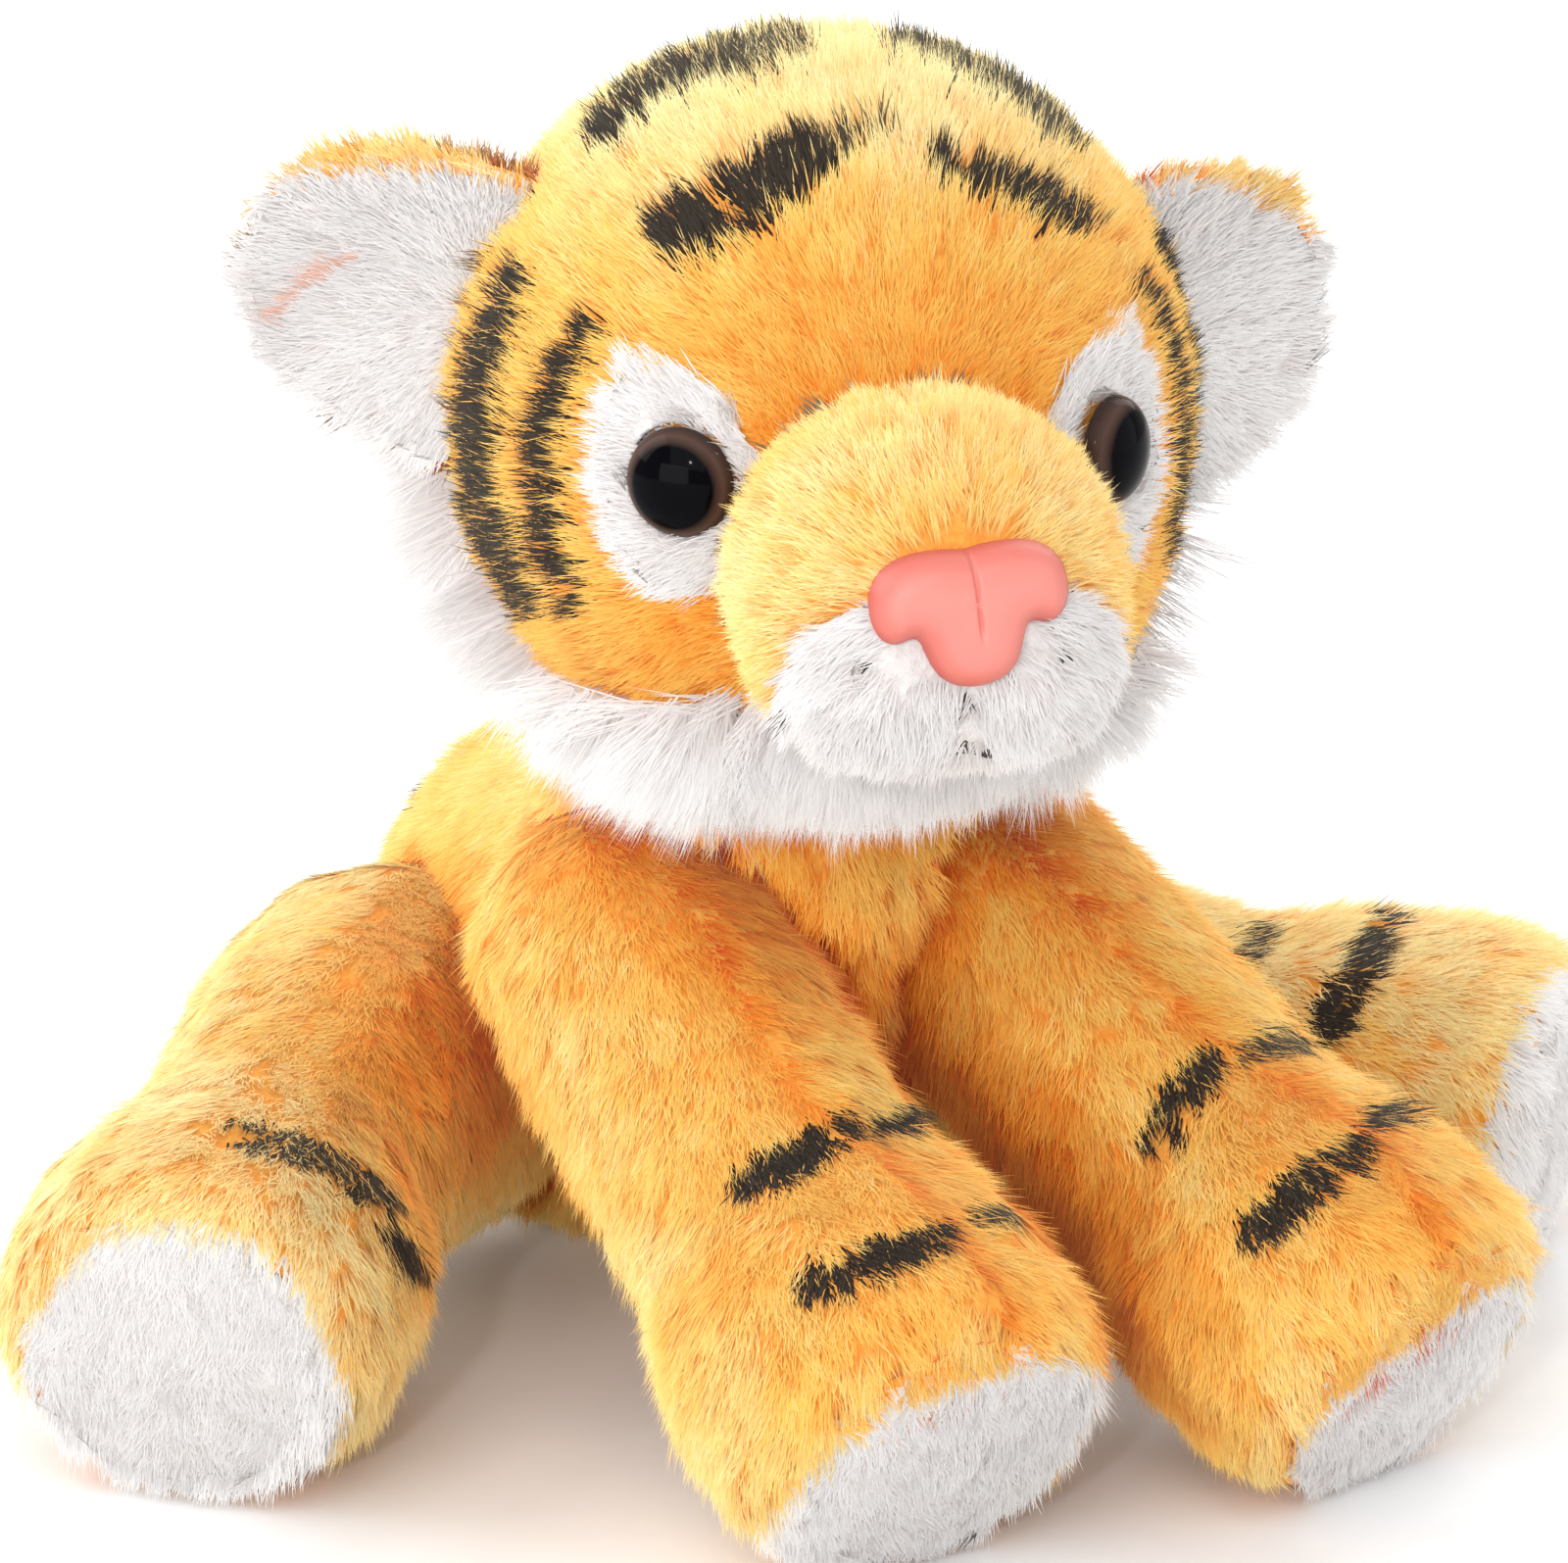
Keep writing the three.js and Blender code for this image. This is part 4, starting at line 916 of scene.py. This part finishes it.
def pads_kind(p, n, rng):
    """A little of the thread's black between the hairs."""
    near = gap_to(THREAD_SEEN, p) < THREAD_REACH
    return np.where(near & (rng.uniform(size=len(p)) < 0.4), DARK, WHITE)


def pads_cleft_shade_tone(p, n):
    """Painted shade: darker in the cleft."""
    return 0.52 - 0.5 * bell(gap_to(PADS_CLEFT, p), 9)


def faces_out(limb):
    """Only the outer face and the upper rim of a sole carry pile."""
    out = unit(node_middle(f"{limb}_sole") - node_middle(f"{limb}_pellet_bag"))
    return lambda p, n: n @ out > 0.1 - 0.85 * np.clip(n[:, 2], 0, 1)


def off_floor(p, n):
    """No pile on the side that lies on the floor."""
    return (n[:, 2] > -0.5) | (p[:, 2] > 7)


def off_head(p, n):
    return dot(n, unit(p - HEAD)) > 0.1


def patch_flow(side):
    """Away from the nose and a little away from the eye."""
    return lambda p, n: unit(p - NOSE) + unit(p - EYES[side]) * 0.35


def outward_flow(downward):
    """Away from the middle of the face, and down."""
    def flow(p, n):
        out = p - HEAD
        out = out - FACE * (out @ FACE)[:, None]
        return unit(out) - UP * downward - FACE * 0.2
    return flow


def seam_push(path, reach):
    """Parts the pile to both sides of a seam seen in the picture."""
    def push(p):
        gap, _, offset = along(path, to_picture(p))
        way = offset * (bell(gap, reach) / np.maximum(gap, 1e-6))[:, None]
        return way[:, :1] * RIGHT - way[:, 1:] * ABOVE
    return push


cleft_push = seam_push(PADS_CLEFT, 16)
# Sewn seams of the forelegs, as the picture shows them
LIMB_SEAMS = {
    "front_leg_right": [(703, 920), (809, 1117), (893, 1173), (977, 1264), (1054, 1383)],
    "front_leg_left": [(1033, 850), (1223, 1054), (1391, 1152), (1503, 1306)],
}


def limb_flow(limb):
    """Down and along the limb, and off its seam."""
    start, _ = hinge_of(limb)
    axis = unit(node_middle(f"{limb}_sole") - start)
    push = seam_push(LIMB_SEAMS[limb], 45) if limb in LIMB_SEAMS else lambda p: 0.0
    return lambda p, n: axis * (0.4 + 1.4 * np.clip(n[:, 2:], 0, 1)) - UP + push(p) * 0.9


def limb_shape(limb):
    """Shorter pile along the sewn seam."""
    if limb not in LIMB_SEAMS:
        return None
    return lambda p, n: np.where(
        facing(p, n) > 0, 0.8 + 0.2 * smooth_step(6, 30, gap_to(LIMB_SEAMS[limb], p)), 1.0)


def tail_flow(p, n):
    return unit(p - node_middle("tail_root_cover") + np.array((0, 25.0, 0)))


def ear_flow(side):
    start, _ = hinge_of(f"ear_{side}")
    return lambda p, n: unit(p - start) + UP * 0.1


# The upper end of each ear's white and the right ear's fold, in the picture
EAR_RIMS = {
    "right": [(236, 208), (280, 194), (340, 184), (440, 184), (545, 206)],
    "left": [(1140, 200), (1200, 194), (1262, 208), (1318, 240)],
}
EAR_FOLD = [(290, 325), (330, 290), (370, 265)]


def ear_kind(side):
    """White inside, with the orange back's pile lapping over the upper rim."""
    path = np.array(EAR_RIMS[side], float)

    def kind(p, n, rng):
        at = to_picture(p)
        edge = np.interp(at[:, 0], path[:, 0], path[:, 1]) + rng.normal(size=len(p)) * 5
        kinds = np.where(at[:, 1] < edge, ORANGE, WHITE)
        if side == "right":
            fold = gap_to(EAR_FOLD, p) < 7 + rng.normal(size=len(p)) * 2
            kinds = np.where(fold & (kinds == WHITE), BLUSH, kinds)
        return kinds
    return kind


def ear_light_and_shade_tone(p, n):
    """Painted light: a pale base tone; painted shade round the fold of the right ear."""
    return 0.85 - 0.5 * bell(gap_to(EAR_FOLD, p), 60)


def ear_grows(side, front):
    """An ear's front layer carries pile on its front, the back layer on the rest."""
    _, hinge = hinge_of(f"ear_{side}")
    out = unit(node_middle(f"ear_front_{side}") - node_middle(f"ear_back_{side}"))
    out = unit(out - hinge * (out @ hinge))
    return lambda p, n: (n @ out > 0) == front


RUFF_LEAN = {"right": 50, "left": 38}


def ruff_shape(p, n):
    """Longest at the sides of the head, shorter under the chin."""
    return 0.78 + 0.22 * smooth_step(-34, -18, p[:, 2] - HEAD[2])


def trunk_flow(p, n):
    return np.array((0, 0.18, -1.0)) + 0 * p


WHITE_ROUND_EYES = 8.2


def head_kind(p, n, rng):
    """White right round the eyes, where the patches' pile starts."""
    near = np.minimum(*(norms(p - EYES[side]) for side in SIDES))
    return np.where(near < WHITE_ROUND_EYES, WHITE, ORANGE)


def head_shape(p, n):
    """Short pile near eyes and muzzle, long on the crown and neck."""
    share = 0.62 + 0.38 * smooth_step(22, 60, norms(p - NOSE))
    for side in SIDES:
        share = share * (0.6 + 0.4 * smooth_step(8, 14, norms(p - EYES[side])))
    return share * (1 + 0.15 * smooth_step(25, 38, p[:, 2] - HEAD[2]))


cheek_test = stripe_test(STRIPES["cheek"], 502)


def cheeks_test(p, n):
    """The right cheek's stripes, again on the left of the face."""
    offset = (p - MIDDLE) @ MIRROR
    mirror = 2 * MIRROR * (offset > 0)[:, None]
    return cheek_test(p - offset[:, None] * mirror, n - (n @ MIRROR)[:, None] * mirror)


crown_test = stripe_test(STRIPES["crown"], 501)
PIXELS_A_MM = 9


def bars(places, at, offset, slope, half, parting):
    """How far inside bars across the toy's middle each root lies, in pixels."""
    band = np.full(len(at), NO_STRIPE)
    for place, reach in places:
        inside = (half - np.abs(at - place + slope * offset)) * PIXELS_A_MM
        band = np.maximum(band, np.where((offset < reach) & (offset >= parting), inside, NO_STRIPE))
    return band


def head_back_test(p, n):
    """Bars over the back of the head, which the photograph doesn't show."""
    offset = np.abs((p - MIDDLE) @ MIRROR)
    band = bars(((24, 18), (8, 24), (-8, 22)), p[:, 2] - HEAD[2], offset, 0.14, 2.6, 2.2)
    return np.where((HEAD - p) @ FACE > 12, band, NO_STRIPE), np.full(len(p), 0.15)


def head_stripes(p, n):
    inside, fade = crown_test(p, n)
    for test in (cheeks_test, head_back_test):
        more, other = test(p, n)
        fade = np.where(more > inside, other, fade)
        inside = np.maximum(inside, more)
    return inside, fade


BROW = HEAD + FACE * 36 + UP * 6


def head_painted_light_tone(p, n):
    """Painted shade: deeper orange over the brow and low on the head; painted light: paler away from the
    brow towards the outline and on the crown.
    """
    gap = norms(p - BROW)
    low = smooth_step(0, 22, HEAD[2] - p[:, 2])
    crown = smooth_step(14, 38, p[:, 2] - HEAD[2])
    return 0.52 + 0.13 * smooth_step(10, 44, gap) + 0.34 * crown - 0.1 * low


def trunk_painted_light_tone(p, n):
    """Painted light: paler high on the sides, under the ruff."""
    return 0.7 + 0.18 * smooth_step(62, 84, p[:, 2])


# Where painted shade deepens the hind thigh's orange, in the picture
THIGH_SHADE_AT = (363, 1036)


def limb_painted_shade_tone(limb):
    """Painted shade along a foreleg's sewn seam and over the thigh; hind legs start paler, as painted
    light.
    """
    def tone(p, n):
        if limb not in LIMB_SEAMS:
            return 0.9 - 0.26 * bell(norms(to_picture(p) - THIGH_SHADE_AT), 110)
        seam = bell(gap_to(LIMB_SEAMS[limb], p), 12) * (facing(p, n) > 0)
        return 0.78 - 0.2 * np.clip(n[:, 2], 0, 1) - 0.3 * seam
    return tone


TRUNK_MIDDLE = (node_box("body_side_right")[1][0] + node_box("body_side_left")[0][0]) / 2


def trunk_stripes(p, n):
    """Bars down from the spine on the hidden back."""
    offset = np.abs(p[:, 0] - TRUNK_MIDDLE)
    band = bars(((-14, 26), (2, 30), (18, 30), (34, 26)), p[:, 1], offset, 0.1, 2.7, 2.5)
    hidden = (facing(p, n) < 0.02) & (n[:, 2] > -0.1) & (p[:, 1] > -24)
    return np.where(hidden, band, NO_STRIPE), np.full(len(p), 0.1)


def tail_stripes(p, n):
    """Rings round the tail and a dark tip."""
    band = p[:, 1] - 106
    for centre in (56, 72, 88):
        band = np.maximum(band, 2.8 - np.abs(p[:, 1] - centre))
    return band * PIXELS_A_MM, np.full(len(p), 0.1)


# Coats: long white pile glows from within, so its shading leans to the front and up
CAMERA_PULL = BACK * 0.5 + UP * 0.3
EYES_CLEAR, PATCH_CLEAR = 6.3, 6.1

cover("head", 11,
      hiding("muzzle", "whisker_pads", "trunk", "chin_bib", "ruff_right", "ruff_left", depth=0.0),
      flow=head_flow, shape=head_shape, stripes=head_stripes, tone=head_painted_light_tone, kind=head_kind,
      crowded=0.3, clear=[(EYES[side], EYES_CLEAR) for side in SIDES])
cover("muzzle", 21, hiding("head") + hiding("whisker_pads", depth=-0.5),
      flow=head_flow, length=4.0, density=0.55, tone=0.82, crowded=0.3, clear=[(NOSE, 8)])
cover("whisker_pads", 31, hiding("head", "muzzle"),
      flow=pads_flow, kind=pads_kind, length=4.0, density=0.6, shape=pads_shape, tone=pads_cleft_shade_tone,
      clear=[(NOSE, 7.4)])
cover("chin_bib", 41, hiding("head", "trunk"),
      flow=outward_flow(0.8), kind=WHITE, length=8.5, lean=32, density=0.65, width=0.22,
      toward=CAMERA_PULL, grows=off_head)
for order, side in enumerate(SIDES):
    seed = 10 * order
    cover(f"ruff_{side}", 51 + seed, hiding("head", "trunk"),
          flow=outward_flow(0.35), kind=WHITE, length=13.5, lean=RUFF_LEAN[side], shape=ruff_shape,
          density=0.6, width=0.27, toward=CAMERA_PULL, grows=off_head)
    cover(f"eye_patch_{side}", 71 + seed, hiding("head", depth=0.2),
          flow=patch_flow(side), kind=WHITE, length=3.2, width=0.26, density=0.75, grows=off_head,
          clear=[(EYES[side], PATCH_CLEAR)])
    cover(f"ear_front_{side}", 91 + seed, hiding("head"),
          flow=ear_flow(side), kind=ear_kind(side), length=3.8, tone=ear_light_and_shade_tone, density=0.55,
          grows=ear_grows(side, True))
    cover(f"ear_back_{side}", 111 + seed, hiding("head"),
          flow=ear_flow(side), length=3.4, density=0.55, grows=ear_grows(side, False))
cover("trunk", 131, hiding("head", "tail", *LIMBS),
      flow=trunk_flow, length=5.2, stripes=trunk_stripes, tone=trunk_painted_light_tone)
for order, limb in enumerate(LIMBS):
    seed = 10 * order
    cover(limb, 141 + seed, hiding("trunk") + hiding(f"{limb}_sole", depth=0.3),
          flow=limb_flow(limb), shape=limb_shape(limb), tone=limb_painted_shade_tone(limb), grows=off_floor,
          kind=sole_kind(limb, ORANGE), stripes=stripe_test(STRIPES[limb], 510 + order))
    cover(f"{limb}_sole", 181 + seed, hiding(limb, depth=1.6),
          flow=limb_flow(limb), kind=sole_kind(limb, WHITE), length=2.8, width=0.24, lean=22,
          wander=0.5, density=0.65, grows=faces_out(limb))
cover("tail", 221, hiding("trunk"), flow=tail_flow, stripes=tail_stripes, length=4.6)


# Eyes
def ring_mesh(name, first, rings, last):
    """A closed skin from a corner over rings of equal length to another corner."""
    sides = len(rings[0])
    corners = np.concatenate(([first], *rings, [last]))
    top = 1 + sides * (len(rings) - 1)
    faces = []
    for k in range(sides):
        m = (k + 1) % sides
        faces.append((0, 1 + m, 1 + k))
        for a in range(1, top, sides):
            faces.append((a + k, a + m, a + sides + m, a + sides + k))
        faces.append((top + k, top + m, len(corners) - 1))
    return build_mesh(name, corners, faces)


def out_from(corners, place, axis):
    """Height of corners along an axis, and how far out from it they lie."""
    away = corners - place
    heights = away @ axis
    return heights, norms(away - heights[:, None] * axis)


EYE_STEPS, EYE_SIDES = 28, 72
EYE_EDGE, EYE_BACK, EYE_BEVEL = 0.4, 0.8, 0.5
eye_gloss, _, _ = marked_material("eye_gloss", [
    (0.0, (0.0008, 0.0008, 0.002)), (0.74, (0.001, 0.001, 0.002)), (0.79, (0.03, 0.018, 0.014)),
    (0.9, (0.085, 0.05, 0.04)), (1.0, (0.04, 0.024, 0.02)),
], Roughness=0.1, Specular_IOR_Level=0.02, Coat_Weight=0.07, Coat_Roughness=0.06)
for side, place in EYES.items():
    corners, _ = node_arrays((f"eye_{side}",))
    axis = unit(place - node_middle(f"eye_washer_{side}"))
    heights, radial = out_from(corners, place, axis)
    top = heights.max()
    base = heights[radial > EYE_RADIUS - EYE_EDGE].mean()
    back, bevel = base - EYE_BACK, base - EYE_BEVEL
    profile = [(EYE_RADIUS * 0.86, back), (EYE_RADIUS * 0.97, bevel), (EYE_RADIUS, base)]
    for turn in np.linspace(0, math.pi / 2, EYE_STEPS + 1)[1:-1]:
        profile.append((EYE_RADIUS * math.cos(turn), base + (top - base) * math.sin(turn)))
    first = unit(np.cross(axis, UP))
    turns = np.linspace(0, 2 * math.pi, EYE_SIDES, endpoint=False)[:, None]
    wheel = np.cos(turns) * first + np.sin(turns) * np.cross(axis, first)
    rings = [place + axis * height + radius * wheel for radius, height in profile]
    eye = ring_mesh(f"eye_{side}_dome", place + axis * back, rings, place + axis * top)
    eye.data.materials.append(eye_gloss)
    _, out = out_from(mesh_arrays(eye)[0], place, axis)
    mark(eye, np.clip(out / EYE_RADIUS, 0, 1), 0)
    declare(eye, "head", (f"eye_{side}",))


# Nose
# The button's vinyl, paler in the middle and darker towards its rounded rim and wall: painted shade
nose_vinyl, tree, shader = marked_material("nose_vinyl", [
    (0.0, srgb(226, 136, 125)), (0.5, srgb(222, 128, 117)), (0.85, srgb(208, 108, 97)),
    (1.0, srgb(186, 84, 73)),
], Roughness=0.42, Subsurface_Weight=0.08, Subsurface_Scale=0.6, Subsurface_Radius=(0.004, 0.0016, 0.0012))
bump_node(tree, texture_node(tree, "TexNoise", 2600, 3.0), shader, 0.15, 0.0001)
# Half outline of the button, across and up, from the middle of its top to its foot
NOSE_HALF = [
    (0, 6.7), (2, 7.0), (4, 7.1), (6, 7.0), (8, 6.5), (9.6, 5.5), (10.7, 3.9), (11.1, 2.0),
    (11.0, 0.2), (10.4, -1.3), (9.4, -2.2), (8.3, -2.4), (7.3, -2.1), (6.5, -1.9), (5.9, -2.5),
    (5.5, -3.7), (5.0, -5.1), (4.2, -6.5), (2.9, -7.5), (1.3, -8.0), (0, -8.1),
]
NOSE_SIDES, NOSE_RINGS = 168, 26
NOSE_BULGE, NOSE_WALL = 4.0, 3.6
NOSE_ROUND, NOSE_CREASE = 4.6, 0.6
NOSE_TILT, NOSE_ROLL = math.radians(10), math.radians(4)
NOSE_SINK, NOSE_LIFT = 0.4, 0.2
NOSE_HEART = np.array((0, 1.0))


def nose_outline():
    """The button's outline in even steps, a little smoothed."""
    half = np.array(NOSE_HALF, float)
    loop = np.concatenate((half, half[-2:0:-1] * (-1, 1)))
    closed = np.concatenate((loop, loop[:1]))
    steps = np.concatenate(([0], np.cumsum(norms(np.diff(closed, axis=0)))))
    at = np.linspace(0, steps[-1], NOSE_SIDES, endpoint=False)
    outline = np.stack([np.interp(at, steps, closed[:, k]) for k in (0, 1)], 1)
    for _ in range(2):
        outline = (np.roll(outline, 1, 0) + 2 * outline + np.roll(outline, -1, 0)) / 4
    return outline


def nose_mesh():
    outline, heart = nose_outline(), NOSE_HEART
    ahead = unit(FACE * math.cos(NOSE_TILT) + UP * math.sin(NOSE_TILT))
    rise = np.cross(ahead, MIRROR)
    across = MIRROR * math.cos(NOSE_ROLL) + rise * math.sin(NOSE_ROLL)
    rise = rise * math.cos(NOSE_ROLL) - MIRROR * math.sin(NOSE_ROLL)
    cad, _ = node_arrays(("nose",))
    front = ((cad - NOSE) @ FACE).max()
    seat = NOSE + FACE * (front - NOSE_BULGE - NOSE_SINK) + UP * NOSE_LIFT
    rows = []
    marks = [0.0]
    for k in range(1, NOSE_RINGS + 1):
        share = math.sin(math.pi / 2 * k / NOSE_RINGS)
        flat = heart + (outline - heart) * share
        gap, _, _ = along(np.concatenate((outline, outline[:1])), flat)
        inward = np.clip(gap / NOSE_ROUND, 0, 1)
        # Painted shade: the mark grows towards the outline, darkening the rim
        marks.extend(1 - inward)
        high = NOSE_BULGE * (1 - (1 - inward) ** 2.2) ** 0.6
        crease = bell(flat[:, 0], 0.3) * smooth_step(-4.0, -1.0, flat[:, 1])
        wings = 0.5 * smooth_step(3, 9, np.abs(flat[:, 0]))
        dent = NOSE_CREASE * crease * np.minimum(1, high / 1.2)
        rows.append((flat, high - dent - wings * np.minimum(1, high)))
    rows.append((heart + (outline - heart) * 0.985, np.full(NOSE_SIDES, -0.7)))
    rows.append((heart + (outline - heart) * 0.93, np.full(NOSE_SIDES, -NOSE_WALL)))
    first = seat + across * heart[0] + rise * heart[1] + ahead * (NOSE_BULGE - NOSE_CREASE)
    rings = [
        seat + flat[:, :1] * across + flat[:, 1:] * rise + high[:, None] * ahead for flat, high in rows]
    obj = ring_mesh("nose_button", first, rings, seat - ahead * NOSE_WALL)
    # The wall and the foot take the darkest painted shade
    mark(obj, marks, 1)
    return obj


nose = nose_mesh()
nose.data.materials.append(nose_vinyl)
declare(nose, "head", ("nose",))


# Mouth: the thread lies deep in the pads, its arms deeper still
MOUTH_SINK, ARMS_SINK = 2.1, 4.0
mouth = skin("mouth_stitch", ("mouth_thread",), 0.25, 3, mottled_material(
    "embroidery_thread", srgb(28, 26, 26), srgb(70, 66, 62), 1800, 3.0, (0.4, 0.0001),
    stops=(0.35, 0.7), Roughness=0.7))
sunk = mesh_arrays(mouth)[0]
arms = smooth_step(2.5, 6, np.abs((sunk - MIDDLE) @ MIRROR))
inward = unit(node_middle("whisker_pads") - sunk)
move_corners(mouth, sunk - FACE * MOUTH_SINK + inward * (ARMS_SINK * arms)[:, None])
declare(mouth, "head", ("mouth_thread",))


# Stuffing, pellet bags and washers, inside
fibre = mottled_material(
    "polyester_fibre", srgb(225, 226, 228), srgb(248, 248, 248), 400, 8.0, (1.0, 0.001), Roughness=0.95)
cloth = mottled_material(
    "pellet_bag_cloth", srgb(236, 236, 230), srgb(196, 198, 192), 380, 0.0, (0.9, 0.0008),
    "TexVoronoi", (0.1, 0.8), Roughness=0.8)
washers = mottled_material(
    "washer_plastic", srgb(228, 230, 230), srgb(242, 243, 243), 700, 2.0, Roughness=0.45)
# Each inner piece's body and fill
INNER = {
    "body_stuffing": ("trunk", 0.6), "seat_pellet_bag": ("trunk", 0.5), "neck_stuffing": ("neck", 0.6),
    "head_stuffing": ("head", 0.75), "muzzle_stuffing": ("head", 0.7), "tail_stuffing": ("tail", 0.6),
}
for limb in LIMBS:
    INNER[f"{limb}_stuffing"] = limb, 0.65
    INNER[f"{limb}_pellet_bag"] = limb, 0.5
for name, (body, fill) in INNER.items():
    slot, material = ("pellet_bags", cloth) if name.endswith("bag") else ("stuffing", fibre)
    declare(skin(f"{name}_soft", (name,), 2.0, 6, material), body, (name,))
for name in ("nose_washer", "eye_washer_right", "eye_washer_left"):
    for slot in nodes[name].material_slots:
        slot.material = washers


# The floor
FLOOR_HALF = 4000
floor = build_mesh("floor", np.array([
    (-FLOOR_HALF, -FLOOR_HALF, 0), (FLOOR_HALF, -FLOOR_HALF, 0),
    (FLOOR_HALF, FLOOR_HALF, 0), (-FLOOR_HALF, FLOOR_HALF, 0),
], float), [(0, 1, 2, 3)], smooth=False)
floor.data.materials.append(mottled_material(
    "paper_floor", (0.9, 0.9, 0.905), (0.93, 0.93, 0.935), 60, 3.0,
    Roughness=0.9, Specular_IOR_Level=0.1))

bpy.context.scene.view_settings.view_transform = "Standard"

bpy.context.view_layer.update()
